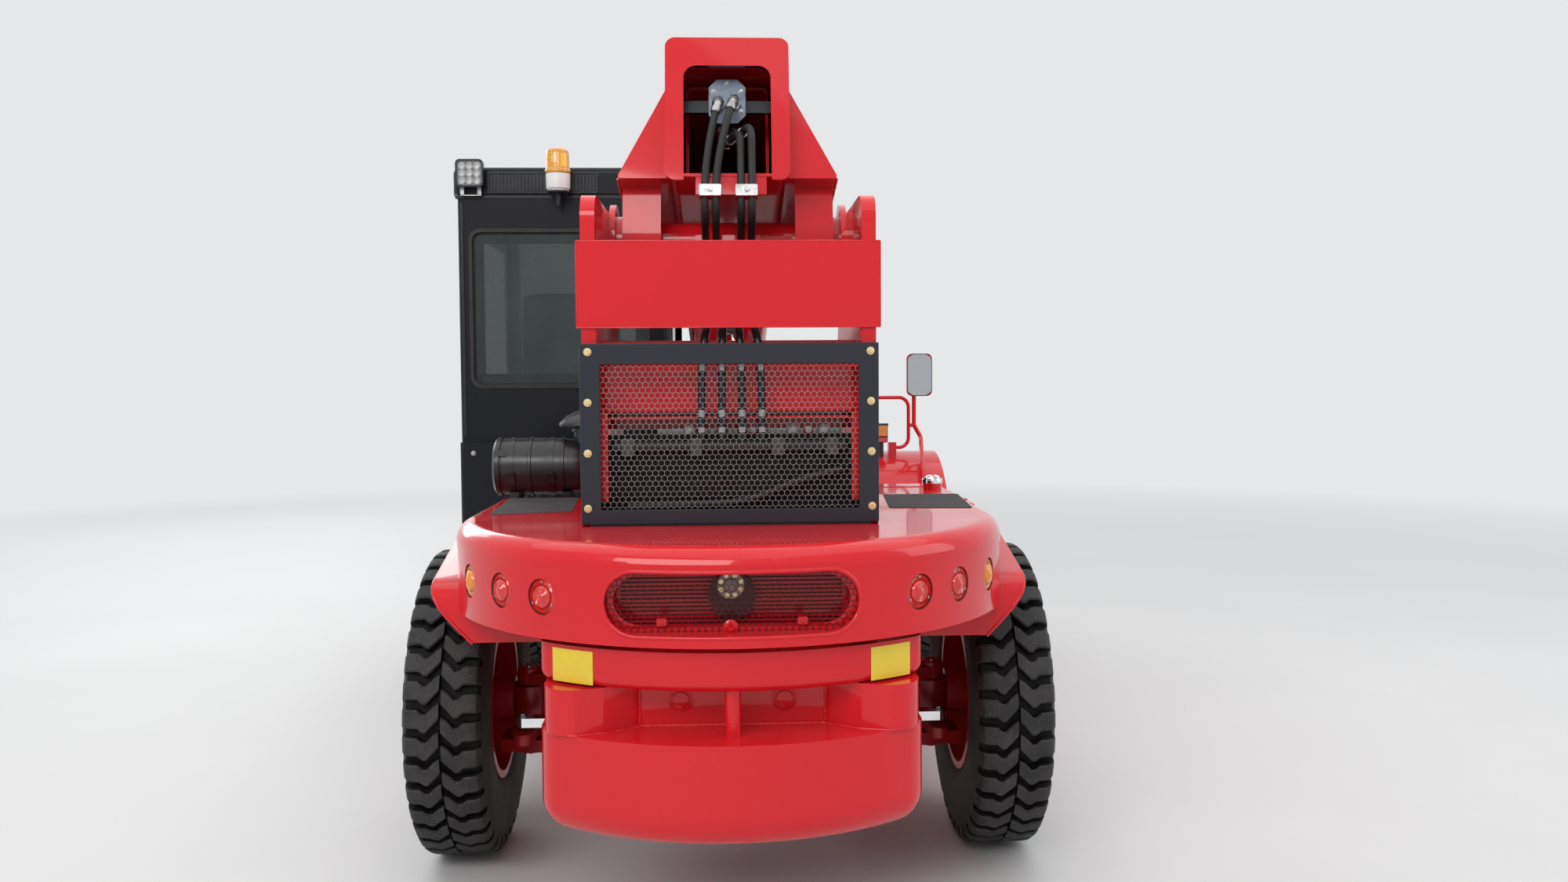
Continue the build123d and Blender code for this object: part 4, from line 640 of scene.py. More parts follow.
def buildTyre(side, end):
    sign = -1 if side == "left" else 1
    radius, width, tread, track = (tyre[end + part] for part in ("Radius", "Width", "Tread", "Track"))
    centre = spot(sign * track / 2, 0 if end == "rear" else frontAxle, radius)
    floor, bead, half = radius - tyre["lugDepth"], tyre["bead"], tread / 2
    rimHalf = width * 0.36
    shape = startShape()
    wall = [(rimHalf - 0.004, bead), (rimHalf + 0.004, bead + 0.004), (rimHalf + 0.007, bead + 0.020)]
    deepest = floor - bead
    for share, reach in ((0.16, 0.55), (0.24, 0.74), (0.27, 0.80), (0.30, 0.80), (0.40, 0.93), (0.52, 1.0),
            (0.62, 1.0), (0.66, 1.03), (0.69, 1.03), (0.72, 0.99), (0.82, 0.93), (0.92, 0.78), (0.98, 0.50)):
        outside = rimHalf + 0.007 + (width / 2 - rimHalf - 0.009) * reach
        if share > 0.8:
            outside = width / 2 - (width / 2 - half) * (share - 0.8) / 0.2 * 0.85
        wall.append((outside, bead + deepest * share))
    wall.append((half - 0.004, floor - 0.001))
    profile = wall + [(0.0, floor + 0.0015)] + [(-x, r) for x, r in reversed(wall)]
    lathe(shape, profile + [(-rimHalf + 0.02, bead - 0.001), (rimHalf - 0.02, bead - 0.001)], centre,
        acrossX, 108, closed=True)
    # the crown and shoulders between the lugs take the darker rubber: painted shade
    for face in shape.faces:
        spread = face.calc_center_median() - centre
        if hypot(spread.y, spread.z) > floor - 0.016:
            face.material_index = 1
    pitch = tau / tyre["lugs"]
    # share out from the middle, how far the edge swings, and how far down the lug's top lies there
    stations = ((0.0, -0.30, 0), (0.16, -0.12, 0), (0.40, 0.22, 0), (0.52, 0.20, 0), (0.66, 0.02, 0),
                (0.93, 0.0, 0.0015), (1.06, 0.0, 0.009), (1.16, 0.0, 0.026), (1.17, 0.0, 0.045))
    for row in (-1, 1):
        for lug in range(tyre["lugs"]):
            middle = (lug + row / 4) * pitch
            rows = []
            for out, swing, drop in stations:
                x = row * (tyre["split"] / 2 + out * (half - tyre["split"] / 2))
                x = max(-width / 2 + 0.002, min(width / 2 - 0.002, x))
                top = radius - drop
                base = min(floor - 0.006, top - 0.006)
                centreTurn = middle + swing * pitch * tyre["swing"]
                fill = tyre["lugFill"] * pitch / 2 * (0.86 if out == 0 else 1.0)
                taper = 0.0028 / radius
                line = []
                for turn, height in ((-fill - taper * 2, base), (-fill - taper, top - 0.005), (-fill + taper,
                        top), (fill - taper, top), (fill + taper, top - 0.005), (fill + taper * 2, base)):
                    angle = centreTurn + turn
                    line.append(shape.verts.new(centre + Vector((x, cos(angle) * height,
                        sin(angle) * height))))
                rows.append(line)
            # lug flanks and inner ends take the darker rubber: painted shade
            for first, second in zip(rows, rows[1:]):
                for step in range(5):
                    addFace(shape, (first[step], first[step + 1], second[step + 1], second[step]),
                        1 if step in (0, 4) else 0)
            addFace(shape, rows[0], 1)
            addFace(shape, rows[-1][::-1])
    return finishShape(f"tyre{end.title()}{side.title()}", shape, ["tyreRubber", "deepShadeRubber"],
        f"wheel_{end}_{side}", 28, stands=[f"tyre_{end}_{side}"])


for end in ("rear", "front"):
    for side in ("left", "right"):
        buildTyre(side, end)
print("tyres built")


# meshes over the engine bay and the cooler
meshSheet = {"pitch": 0.0174, "strand": 0.0015, "thick": 0.0016}


def hexSheet(shape, plane, inside, reachU, reachV, paint=0):
    # a punched sheet of hexagons, kept where inside(u, v) says
    pitch, strand = meshSheet["pitch"], meshSheet["strand"]
    outer, rise = pitch / sqrt(3), pitch * sqrt(3) / 2
    known = {}

    def corner(u, v, level):
        key = (round(u * 1e5), round(v * 1e5), level)
        if key not in known:
            known[key] = shape.verts.new(plane @ Vector((u, v, level * meshSheet["thick"])))
        return known[key]

    rows, columns = int(reachV / rise) + 1, int(reachU / pitch) + 1
    for row in range(-rows, rows + 1):
        for column in range(-columns, columns + 1):
            u, v = (column + (row % 2) / 2) * pitch, row * rise
            if not inside(u, v):
                continue
            turns = [radians(30 + 60 * step) for step in range(6)]
            rim = [(u + outer * cos(t), v + outer * sin(t)) for t in turns]
            hole = [(u + (outer - strand / 2 * 1.155) * cos(t),
                v + (outer - strand / 2 * 1.155) * sin(t)) for t in turns]
            for step in range(6):
                after = (step + 1) % 6
                for level in (0, 1):
                    addFace(shape, (corner(*rim[step], level), corner(*rim[after], level),
                        corner(*hole[after], level), corner(*hole[step], level)), paint)
                addFace(shape, (corner(*hole[step], 0), corner(*hole[after], 0), corner(*hole[after], 1),
                    corner(*hole[step], 1)), paint)


grille = {"width": 0.862, "low": 1.180, "high": 1.700, "openWidth": 0.747, "openLow": 1.220,
    "openHigh": 1.640, "thick": 0.030,
          "boltX": 0.409, "boltHeights": (1.676, 1.531, 1.385, 1.226)}
grilleMiddle = (grille["openLow"] + grille["openHigh"]) / 2
shape = startShape()
openHalf, openTall = grille["openWidth"] / 2, (grille["openHigh"] - grille["openLow"]) / 2
sheetPlane = rearPlane(0, -0.6585, grilleMiddle)
hexSheet(shape, sheetPlane, lambda u, v: abs(u) < openHalf + 0.008 and abs(v) < openTall + 0.008,
    openHalf + 0.03, openTall + 0.03)
for place, side in (((openHalf, 0), (1, 0)), ((-openHalf, 0), (-1, 0)), ((0, openTall), (0, 1)),
        ((0, -openTall), (0, -1))):
    cutAt = sheetPlane @ Vector((*place, 0))
    cutOut = sheetPlane.to_3x3() @ Vector((*side, 0))
    bmesh.ops.bisect_plane(shape, geom=shape.verts[:] + shape.edges[:] + shape.faces[:], plane_co=cutAt,
        plane_no=cutOut, clear_outer=True)
finishShape("grilleMesh", shape, "meshSteel", "chassis", 30)

shape = startShape()
outerLine = [(-grille["width"] / 2, grille["low"]), (grille["width"] / 2, grille["low"]),
    (grille["width"] / 2, grille["high"]), (-grille["width"] / 2, grille["high"])]
innerLine = [(-openHalf, grille["openLow"]), (openHalf, grille["openLow"]), (openHalf, grille["openHigh"]),
    (-openHalf, grille["openHigh"])]
frameRing(shape, outerLine, innerLine, rearPlane(0, -0.650, 0), grille["thick"])
boxAt(shape, (-0.406, -0.676, 1.150), (0.406, -0.662, 1.184))  # sealing strip down to the hood
finishShape("grilleFrame", shape, "frameGrey", "chassis", 30, 0.0018, ["rear_grille"])

shape = startShape()
for side in (-1, 1):
    for height in grille["boltHeights"]:
        lean = (1.676 - height) * 0.009
        bolt(shape, spot(side * (grille["boltX"] - 0.002 + lean), -0.680, height), (0, -1, 0), 0.0085,
            head=0.55)
finishShape("grilleBolts", shape, "brassPlate", "chassis", 30)

opening = {"width": 0.660, "height": 0.166, "middle": 1.029}
shape = startShape()


def insideSlot(u, v, grown=0.010):
    run = max(abs(u) - (opening["width"] - opening["height"]) / 2, 0.0)
    return hypot(run, v) < opening["height"] / 2 + grown


hexSheet(shape, rearPlane(0, -1.0835, opening["middle"]), insideSlot, opening["width"] / 2 + 0.03,
    opening["height"] / 2 + 0.03)
finishShape("coolerMesh", shape, "redMesh", "chassis", 30, stands=["hood_grille"])
print("meshes built")


# tail lamps
lamps = {"radius": 0.0475, "height": 1.030, "set": 0.022, "proud": 0.017, "places": (0.500, 0.626, 0.742),
    "hoodRadius": 0.842, "hoodCentre": -0.338}


def lampAxis(x):
    swing = asin(x / lamps["hoodRadius"])
    out = Vector((sin(swing), -cos(swing), 0))
    middle = Vector((0, rearAxleY + lamps["hoodCentre"], lamps["height"]))
    return middle + out * (lamps["hoodRadius"] - lamps["set"]), out, Vector((cos(swing), sin(swing), 0))


redShape, amberShape, trimShape = startShape(), startShape(), startShape()
for side in (-1, 1):
    for number, place in enumerate(lamps["places"]):
        middle, out, across = lampAxis(side * place)
        lens = amberShape if number == 2 else redShape
        full = lamps["radius"]
        middle = middle + out * lamps["proud"]
        profile = [(-0.021, 0.0), (-0.021, full), (-0.004, full), (-0.001, full * 0.97), (0.0, full * 0.92)]
        for step in range(5):  # ribbed outer ring
            start = full * (0.90 - 0.04 * step)
            profile += [(0.0008, start - 0.0003), (-0.0004, start - full * 0.02)]
        profile += [(-0.004, full * 0.69), (-0.003, full * 0.655), (0.004, full * 0.62), (0.007, full * 0.56)]
        for step in range(6):  # stepped bowl
            start = full * (0.53 - 0.06 * step)
            profile += [(0.0082 + 0.0006 * step, start), (0.0074 + 0.0006 * step, start - full * 0.03)]
        profile += [(0.0125, full * 0.14), (0.0135, 0.0)]
        lathe(lens, profile, middle, out, 56)
        # dished reflector seen through the lens, a rubber ring round it and three small screws
        lathe(trimShape, [(-0.0215, 0.0), (-0.0215, full + 0.0004), (0.0005, full + 0.0004),
            (0.0018, full * 0.99), (0.0006, full * 0.965)], middle, out, 48)
        for turn in (90, 210, 330):
            angle = radians(turn)
            way = across * cos(angle) + upZ * sin(angle)
            rim = middle + way * full * 0.82 + out * 0.0006
            lathe(trimShape, [(0, 0.0032), (0.0014, 0.0030), (0.0020, 0.0018), (0.0020, 0.0)], rim, out, 12,
                1)
finishShape("tailLensRed", redShape, "redLens", "chassis", 40, stands=["tail_lamps"])
finishShape("tailLensAmber", amberShape, "amberLens", "chassis", 40)
finishShape("tailLampTrim", trimShape, ["sealRubber", "bareSteel"], "chassis", 40)
print("tail lamps built")


# grip patches, plates, plugs and weld seams on the rear
patches = {
    "left": [(-0.785, 0.191), (-0.756, -0.349), (-0.505, -0.282), (-0.539, 0.195)],
    "right": [(0.551, 0.195), (0.822, 0.191), (0.782, -0.296), (0.514, -0.268)], "thick": 0.0016,
    "height": 1.175}
shape = startShape()
for side in ("left", "right"):
    outline = []
    corners = [Vector((x, station, 0)) for x, station in patches[side]]
    seamAt = corners[-1].lerp(corners[0], 0.5)
    for point in bentPath([seamAt] + corners + [seamAt], 0.018, 4)[:-1]:
        outline.append((point.x, point.y + rearAxleY))
    prism(shape, outline, Matrix.Identity(4), patches["thick"], 0, patches["height"])
finishShape("gripPatches", shape, "gripTape", "chassis", 30, edge=0.0006)

weight = {"bandRear": -1.150, "bandHalf": 0.512, "bow": 0.187}


def bowed(x, rear, half, proud=0.0):
    # x and station of a bowed rear face
    size = (half ** 2 + weight["bow"] ** 2) / (2 * weight["bow"])
    turn = asin(x / size)
    return (size + proud) * sin(turn), rear + size - (size + proud) * cos(turn)


plates = {"low": 0.805, "high": 0.893, "near": 0.362, "far": 0.474, "thick": 0.0012}
shape = startShape()
for side in (-1, 1):
    columns = []
    for step in range(9):
        x = side * (plates["near"] + (plates["far"] - plates["near"]) * step / 8)
        column = []
        for proud in (0.0002, plates["thick"]):
            px, station = bowed(x, weight["bandRear"], weight["bandHalf"], proud)
            column += [shape.verts.new(spot(px, station, plates["low"])),
                shape.verts.new(spot(px, station, plates["high"]))]
        columns.append(column)
    for first, second in zip(columns, columns[1:]):
        for a, b in ((0, 1), (1, 3), (3, 2), (2, 0)):
            addFace(shape, (first[a], first[b], second[b], second[a]))
    for column in (columns[0], columns[-1]):
        addFace(shape, (column[0], column[1], column[3], column[2]))
finishShape("blankPlates", shape, "plateYellow", "chassis", 30)

plugs = {"x": 0.138, "height": 0.745, "station": -0.997, "radius": 0.028}
shape = startShape()
for side in (-1, 1):
    lathe(shape, [(0, plugs["radius"] + 0.006), (0.003, plugs["radius"] + 0.004), (0.0035, plugs["radius"]),
        (0.001, plugs["radius"] - 0.002), (0.001, plugs["radius"] - 0.004), (0.006, plugs["radius"] - 0.006),
        (0.008, plugs["radius"] * 0.5), (0.008, 0)],
        spot(side * plugs["x"], plugs["station"] + 0.0005, plugs["height"]), (0, -1, 0), 40)
finishShape("pocketPlugs", shape, "redPaint", "chassis", 30)


def weldSeam(shape, points, radius, seed, paint=0):
    # a rippled bead along the points
    path = []
    for first, second in zip(points, points[1:]):
        first, second = Vector(first), Vector(second)
        count = max(2, int((second - first).length / 0.006))
        path += [first.lerp(second, step / count) for step in range(count)]
    path.append(Vector(points[-1]))
    sizes = [radius * (1 + 0.22 * sin(index * 2.1) + 0.35 * noise.noise(p * 40 + Vector((seed, 0,
        0)))) for index, p in enumerate(path)]
    tube(shape, path, sizes, 6, paint)


shape = startShape()
seamHeight = 0.679
cheek = -0.997 - 0.088
for side in (-1, 1):
    weldSeam(shape, [spot(side * x, station, seamHeight) for x,
        station in ((0.0, -0.999), (0.243, -0.999), (0.335, cheek + 0.021), (0.409, cheek - 0.002),
            (0.470, cheek + 0.025), (0.499, -1.0), (0.499, -0.66))], 0.0045, side)
    weldSeam(shape, [spot(side * 0.246, -0.998, height) for height in (0.684, 0.794)], 0.004, 3)
finishShape("weightSeams", shape, "redPaint", "chassis", 60)
print("rear trim built")


# boom rear: hoses, clamps and fittings
hoseSize = 0.012
hoseRuns = (
    ((-0.024, -0.220, 0.388), (-0.024, -0.330, 0.388), (-0.072, -0.313, 0.150), (-0.072, -0.313, -0.035),
        (-0.072, -0.105, -0.035)),
    ((0.024, -0.220, 0.388), (0.024, -0.345, 0.388), (-0.038, -0.313, 0.150), (-0.038, -0.313, -0.035),
        (-0.038, -0.105, -0.035)),
    ((-0.020, -0.130, 0.340), (-0.020, -0.130, 0.270), (0.040, -0.328, 0.270), (0.040, -0.313, 0.150),
        (0.040, -0.313, -0.035), (0.040, -0.105, -0.035)),
    ((0.020, -0.130, 0.340), (0.020, -0.130, 0.288), (0.074, -0.345, 0.288), (0.074, -0.313, 0.150),
        (0.074, -0.313, -0.035), (0.074, -0.105, -0.035)),
)


def splineLength(curve):
    # how long the smooth line is, from the curve with no bevel
    thickness, curve.bevel_depth = curve.bevel_depth, 0.0
    plain = bpy.data.objects.new("measure", curve)
    line = bpy.data.meshes.new_from_object(plain)
    places = [v.co.copy() for v in line.vertices]
    bpy.data.objects.remove(plain)
    bpy.data.meshes.remove(line)
    curve.bevel_depth = thickness
    return sum((b - a).length for a, b in zip(places, places[1:])), places


hoseLines = {}
for number, corners in enumerate(hoseRuns, 1):
    curve = bpy.data.curves.new(f"boomHose{number}", "CURVE")
    curve.dimensions = "3D"
    curve.bevel_depth, curve.bevel_resolution, curve.resolution_u = 1.0, 5, 16
    spline = curve.splines.new("NURBS")
    spline.points.add(len(corners) - 1)
    for point, corner in zip(spline.points, corners):
        point.co = (*onBoom(*corner), 1.0)
        point.radius = hoseSize
    spline.order_u = 3
    spline.use_endpoint_u = True
    curve.materials.append(paints["hoseRubber"])
    hose = bpy.data.objects.new(f"boomHose{number}", curve)
    scene.collection.objects.link(hose)
    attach(hose, "boom")
    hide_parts(f"boom_hose_{number}")
    length, hoseLines[number] = splineLength(curve)
    print("hose", number, "length", round(length, 3))


fittings = {"elbow": 0.0138, "elbowLength": 0.085, "crimp": 0.0165, "crimpLength": 0.055,
    "clampX": (-0.055, 0.057), "clampM": 0.064,
            "clampT": -0.328}
shape = startShape()
for number, line in hoseLines.items():
    gone, elbow, crimp = 0.0, [line[0]], []
    for before, after in zip(line, line[1:]):
        gone += (after - before).length
        if gone < fittings["elbowLength"]:
            elbow.append(after)
        elif gone < fittings["elbowLength"] + fittings["crimpLength"]:
            crimp.append(after)
    tube(shape, elbow, fittings["elbow"], 16)
    tube(shape, crimp, [fittings["crimp"] * (0.9 if step % 3 == 0 else 1.0) for step in range(len(crimp))],
        24)
    for place, way in ((line[0], elbow[1] - elbow[0]), (crimp[0], crimp[0] - crimp[1])):
        puck(shape, [(0.0, 0.0195), (0.012, 0.0195), (0.0135, 0.016)], place, way, 6)
for x in fittings["clampX"]:
    clampPlane = planeAt(onBoom(x, fittings["clampT"] - 0.0015, fittings["clampM"]), acrossX, boomUp)
    prism(shape, roundedBox(0.068, 0.036, 0.004, 2), clampPlane, 0.004)
    for hoseX in (-0.017, 0.017):
        lathe(shape, [(-0.018, 0.0148), (-0.018, 0.0185), (0.018, 0.0185), (0.018, 0.0148)],
            onBoom(x + hoseX, -0.313, fittings["clampM"]), boomUp, 24, closed=True)
    bolt(shape, onBoom(x, fittings["clampT"] - 0.0055, fittings["clampM"]), -boomAlong, 0.0075)
finishShape("hoseFittings", shape, "bareSteel", "boom")

# faceted end plate of the extension cylinder, with its bolts
endPlate = {"t": -0.216, "m": 0.402, "halfWide": 0.059, "halfTall": 0.074, "cut": 0.026, "thick": 0.003}
shape = startShape()
wide, tall, cut = endPlate["halfWide"], endPlate["halfTall"], endPlate["cut"]
outline = [(wide, -tall + cut), (wide, tall - cut), (wide - cut, tall), (-wide + cut, tall),
    (-wide, tall - cut), (-wide, -tall + cut), (-wide + cut, -tall), (wide - cut, -tall)]
platePlane = planeAt(onBoom(0, endPlate["t"], endPlate["m"]), acrossX, boomUp)
prism(shape, outline, platePlane, endPlate["thick"])
for u, v in ((-0.044, 0.034), (0.044, 0.034), (-0.044, -0.034), (0.044, -0.034), (0.0, 0.060)):
    bolt(shape, platePlane @ Vector((u, v, endPlate["thick"])), -boomAlong, 0.0065, 1)
finishShape("cylinderEndPlate", shape, ["greyZinc", "bareSteel"], "boom", 30, edge=0.0015)

# seams where the gussets and the cap meet the tube
shape = startShape()
for side in (-1, 1):
    weldSeam(shape, [onBoom(side * 0.186, -0.284, m) for m in (0.46, 0.160)], 0.004, side)
    for x, m, size, seed in ((0.187, 0.153, 0.004, 5), (0.347, 0.139, 0.0035, 9), (0.187, 0.459, 0.004, 12)):
        weldSeam(shape, [onBoom(side * x, t, m) for t in (-0.225, 0.60)], size, side + seed)
finishShape("boomSeams", shape, "redPaint", "boom", 60)

# keeper plates over the pivot pin, one each side
keeper = {"x": 0.427, "radius": 0.088, "thick": 0.012, "bolts": 6}
shape = startShape()
for side in (-1, 1):
    lathe(shape, [(0, keeper["radius"]), (keeper["thick"] - 0.002, keeper["radius"]),
        (keeper["thick"], keeper["radius"] - 0.002), (keeper["thick"], 0.030),
        (keeper["thick"] + 0.010, 0.026), (keeper["thick"] + 0.012, 0.012), (keeper["thick"] + 0.012, 0)],
        spot(side * keeper["x"], -0.100, 2.045), (side, 0, 0), 48)
    for step in range(keeper["bolts"]):
        turn = tau * step / keeper["bolts"]
        bolt(shape, spot(side * (keeper["x"] + keeper["thick"]), -0.100 + 0.064 * cos(turn),
            2.045 + 0.064 * sin(turn)), (side, 0, 0), 0.009, 1)
finishShape("pivotKeepers", shape, ["redPaint", "bareSteel"])

# bolts that hold the wear pads at the mouth of the outer tube
mouth = {"t": 3.870, "halfWide": 0.185, "halfHigh": 0.225, "middle": 0.345, "apart": 0.070, "sunk": 0.0005,
    "size": 0.008}
shape = startShape()
for along in (mouth["t"], mouth["t"] - mouth["apart"]):
    for offset in (-0.07, 0.0, 0.07):
        for way in (1, -1):
            level = mouth["middle"] + way * (mouth["halfHigh"] - mouth["sunk"])
            bolt(shape, onBoom(offset, along, level), boomUp * way, mouth["size"])
    for offset in (-0.08, 0.08):
        for side in (-1, 1):
            place = onBoom(side * (mouth["halfWide"] - mouth["sunk"]), along, mouth["middle"] + offset)
            bolt(shape, place, (side, 0, 0), mouth["size"])
finishShape("boomPadBolts", shape, "bareSteel", "boom", 30)
print("boom dressed")


# beacon, work lamps, turn lamps, mirror and filler
beaconDims = {"x": -0.710, "station": 1.060, "low": 2.388, "radius": 0.052}
base = spot(beaconDims["x"], beaconDims["station"], beaconDims["low"])
size = beaconDims["radius"]
shape = startShape()
puck(shape, [(0.0, size * 0.86), (0.008, size * 0.88), (0.009, size * 0.96), (0.070, size * 0.985),
    (0.072, size * 0.97)], base, upZ, 56)
puck(shape, [(-0.010, size * 0.80), (0.0005, size * 0.80)], base, upZ, 40, 1)
boxAt(shape, (-0.750, 1.005, 2.380), (-0.670, 1.131, 2.386), 1)
puck(shape, [(-0.060, 0.010), (-0.010, 0.010)], base, upZ, 16, 1)
finishShape("beaconBase", shape, ["whitePlastic", "satinBlack"], stands=["beacon"])
shape = startShape()
flutes = 28
wallLine = [(0.074, 1.02), (0.076, 1.035), (0.086, 1.035), (0.088, 1.00), (0.092, 0.955), (0.100, 0.945),
    (0.150, 0.925), (0.160, 0.90), (0.168, 0.84), (0.174, 0.70), (0.1765, 0.45), (0.177, 0.0)]
turns = flutes * 4
rings = []
for along, share in wallLine:
    ring = []
    for step in range(turns if share else 1):
        turn = tau * step / turns
        ripple = 1 - (0.022 * (0.5 - 0.5 * cos(flutes * turn)) if 0.09 < along < 0.165 else 0)
        ring.append(shape.verts.new(base + aroundZ(turn) * size * share * ripple + upZ * along))
    rings.append(ring)
skinRows(shape, rings)
addFace(shape, rings[0][::-1])
finishShape("beaconDome", shape, "beaconLens", "chassis", 50)

workLamp = {"half": 0.058, "case": 0.050,
    "places": ((-1.082, 1.120, -1), (-1.090, 2.520, 1), (-0.330, 2.520, 1)), "height": 2.466}
caseShape, lensShape = startShape(), startShape()
for x, station, facing in workLamp["places"]:
    half, height = workLamp["half"], workLamp["height"]
    # normal points the way the lamp shines
    plane = planeAt(spot(x, station, height), (-facing, 0, 0), (0, 0, 1))
    # case with a bezel, stepped back to a finned heat sink
    frameRing(caseShape, roundedBox(2 * half, 2 * half, 0.018),
        roundedBox(2 * half - 0.014, 2 * half - 0.014, 0.014), plane, 0.012, start=workLamp["case"] - 0.012)
    prism(caseShape, roundedBox(2 * half - 0.001, 2 * half - 0.001, 0.018), plane, 0.022,
        start=workLamp["case"] - 0.034)
    for fin in range(9):
        u = (fin - 4) * 0.0115
        prism(caseShape, [(u - 0.002, -half + 0.012), (u + 0.002, -half + 0.012), (u + 0.002, half - 0.012),
            (u - 0.002, half - 0.012)], plane, 0.018)
    prism(lensShape, roundedBox(2 * half - 0.0145, 2 * half - 0.0145, 0.013), plane, 0.003,
        start=workLamp["case"] - 0.006)
    for row in (-1, 0, 1):
        for column in (-1, 0, 1):
            centre = plane @ Vector((column * 0.031, row * 0.031, workLamp["case"] - 0.0118))
            lathe(caseShape, [(0.0, 0.0), (0.0, 0.005), (0.0050, 0.0145), (0.0052, 0.0150),
                (0.0045, 0.0150)], centre, plane.to_3x3() @ Vector((0, 0, 1)), 20, 1)
    # brackets and a bar down to the roof's edge
    for side in (-1, 1):
        prism(caseShape, [(side * (half - 0.022) - 0.008, -half - 0.030),
            (side * (half - 0.022) + 0.008, -half - 0.030), (side * (half - 0.022) + 0.008, -half + 0.006),
            (side * (half - 0.022) - 0.008, -half + 0.006)], plane, 0.003, 2, start=0.018)
    prism(caseShape, [(-half + 0.014, -half - 0.033), (half - 0.014, -half - 0.033),
        (half - 0.014, -half - 0.029), (-half + 0.014, -half - 0.029)], plane, 0.020, 2, start=0.001)
finishShape("workLampCases", caseShape, ["satinBlack", "reflector", "bareSteel"], stands=["work_lamps"])
finishShape("workLampLenses", lensShape, "clearLens")

turnLamp = {"x": 0.849, "station": 2.660, "height": 1.285, "width": 0.080, "tall": 0.105}
caseShape, lensShape = startShape(), startShape()
for side in (-1, 1):
    plane = rearPlane(side * turnLamp["x"], turnLamp["station"], turnLamp["height"])
    prism(caseShape, roundedBox(turnLamp["width"], turnLamp["tall"], 0.010), plane, 0.050, start=-0.060)
    prism(caseShape, roundedBox(turnLamp["width"] + 0.004, 0.012, 0.003, 2,
        (0, turnLamp["tall"] / 2 - 0.003)), plane, 0.010, start=-0.010)
    low = 1.156
    boxAt(caseShape, (side * turnLamp["x"] - 0.018, 2.688, low), (side * turnLamp["x"] + 0.018, 2.700, 1.236))
    for row, tall in ((0.014, 0.060), (-0.036, 0.026)):
        prism(lensShape, roundedBox(turnLamp["width"] - 0.010, tall, 0.006, 4, (0, row)), plane, 0.012,
            0 if row > 0 else 1, start=-0.011)
finishShape("turnLampCases", caseShape, "darkPlastic", edge=0.0015, stands=["turn_lamps"])
finishShape("turnLampLenses", lensShape, ["amberLens", "redLens"], edge=0.002)

mirror = {"x": 1.067, "station": 2.670, "middle": 1.610, "width": 0.141, "tall": 0.236, "round": 0.030}
plane = rearPlane(mirror["x"], mirror["station"], mirror["middle"])
shape = startShape()
rows = []
for inset, level in ((0.000, 0.0005), (0.0, 0.0015), (0.004, 0.0020), (0.0045, 0.0012)):
    rows.append([shape.verts.new(plane @ Vector((u, v, level))) for u,
        v in roundedBox(mirror["width"] - 2 * inset, mirror["tall"] - 2 * inset, mirror["round"] - inset, 8)])
skinRows(shape, rows)
finishShape("mirrorRim", shape, "sealRubber", "chassis", 40)
shape = startShape()
grid = []
for row in range(13):
    line = []
    for column in range(9):
        u, v = -1 + column / 4, -1 + row / 6
        halfU, halfV = mirror["width"] / 2 - 0.0045, mirror["tall"] / 2 - 0.0045
        pushed = max(0.0, abs(v) * halfV - (halfV - mirror["round"]))
        narrowed = mirror["round"] - sqrt(max(mirror["round"] ** 2 - pushed ** 2, 0)) if pushed > 0 else 0
        x, y = u * (halfU - narrowed), v * halfV
        line.append(shape.verts.new(plane @ Vector((x, y,
            0.0015 + 0.0045 * (1 - u * u) * 0.5 + 0.0045 * (1 - v * v) * 0.5))))
    grid.append(line)
skinRows(shape, grid, loop=False)
finishShape("mirrorFace", shape, "mirrorFace", "chassis", 60)

filler = {"x": 0.918, "station": 1.336, "height": 1.130}
shape = startShape()
place = spot(filler["x"], filler["station"], filler["height"])
lathe(shape, [(-0.012, 0.0425), (-0.012, 0.046), (0.004, 0.047), (0.010, 0.044), (0.012, 0.030),
    (0.013, 0.028), (0.020, 0.024), (0.022, 0.015), (0.022, 0)], place, upZ, 40)
for turn in (0, 90):
    angle = radians(turn + 20)
    way = Vector((cos(angle), sin(angle), 0))
    tube(shape, [place + way * -0.034 + upZ * 0.014, place + way * -0.020 + upZ * 0.020,
        place + way * 0.020 + upZ * 0.020, place + way * 0.034 + upZ * 0.014], 0.005, 10)
finishShape("fillerCap", shape, "chromeRod")
print("lamps and mirror built")


# air cleaner
cleaner = {"station": 0.450, "height": 1.272, "radius": 0.111, "left": -0.876, "right": -0.531,
    "stackX": -0.540}
shape = startShape()
start = spot(cleaner["left"], cleaner["station"], cleaner["height"])
size = cleaner["radius"]
run = cleaner["right"] - cleaner["left"]
lathe(shape, [(0.0, 0), (0.0, size * 0.30), (0.004, size * 0.34), (0.004, size * 0.55), (0.0, size * 0.60),
    (0.0, size * 0.86), (0.006, size * 0.93), (0.010, size * 0.985), (0.026, size * 0.985),
    (0.028, size * 0.93), (0.034, size * 0.925), (0.036, size * 0.96), (0.130, size * 0.96),
    (0.132, size * 0.995), (0.142, size * 0.995), (0.144, size * 0.96), (0.250, size * 0.955),
    (0.252, size * 0.985), (0.262, size * 0.985), (0.264, size * 0.93), (0.300, size * 0.915),
    (0.330, size * 0.86), (run, size * 0.76), (run + 0.001, 0)], start, acrossX, 72)
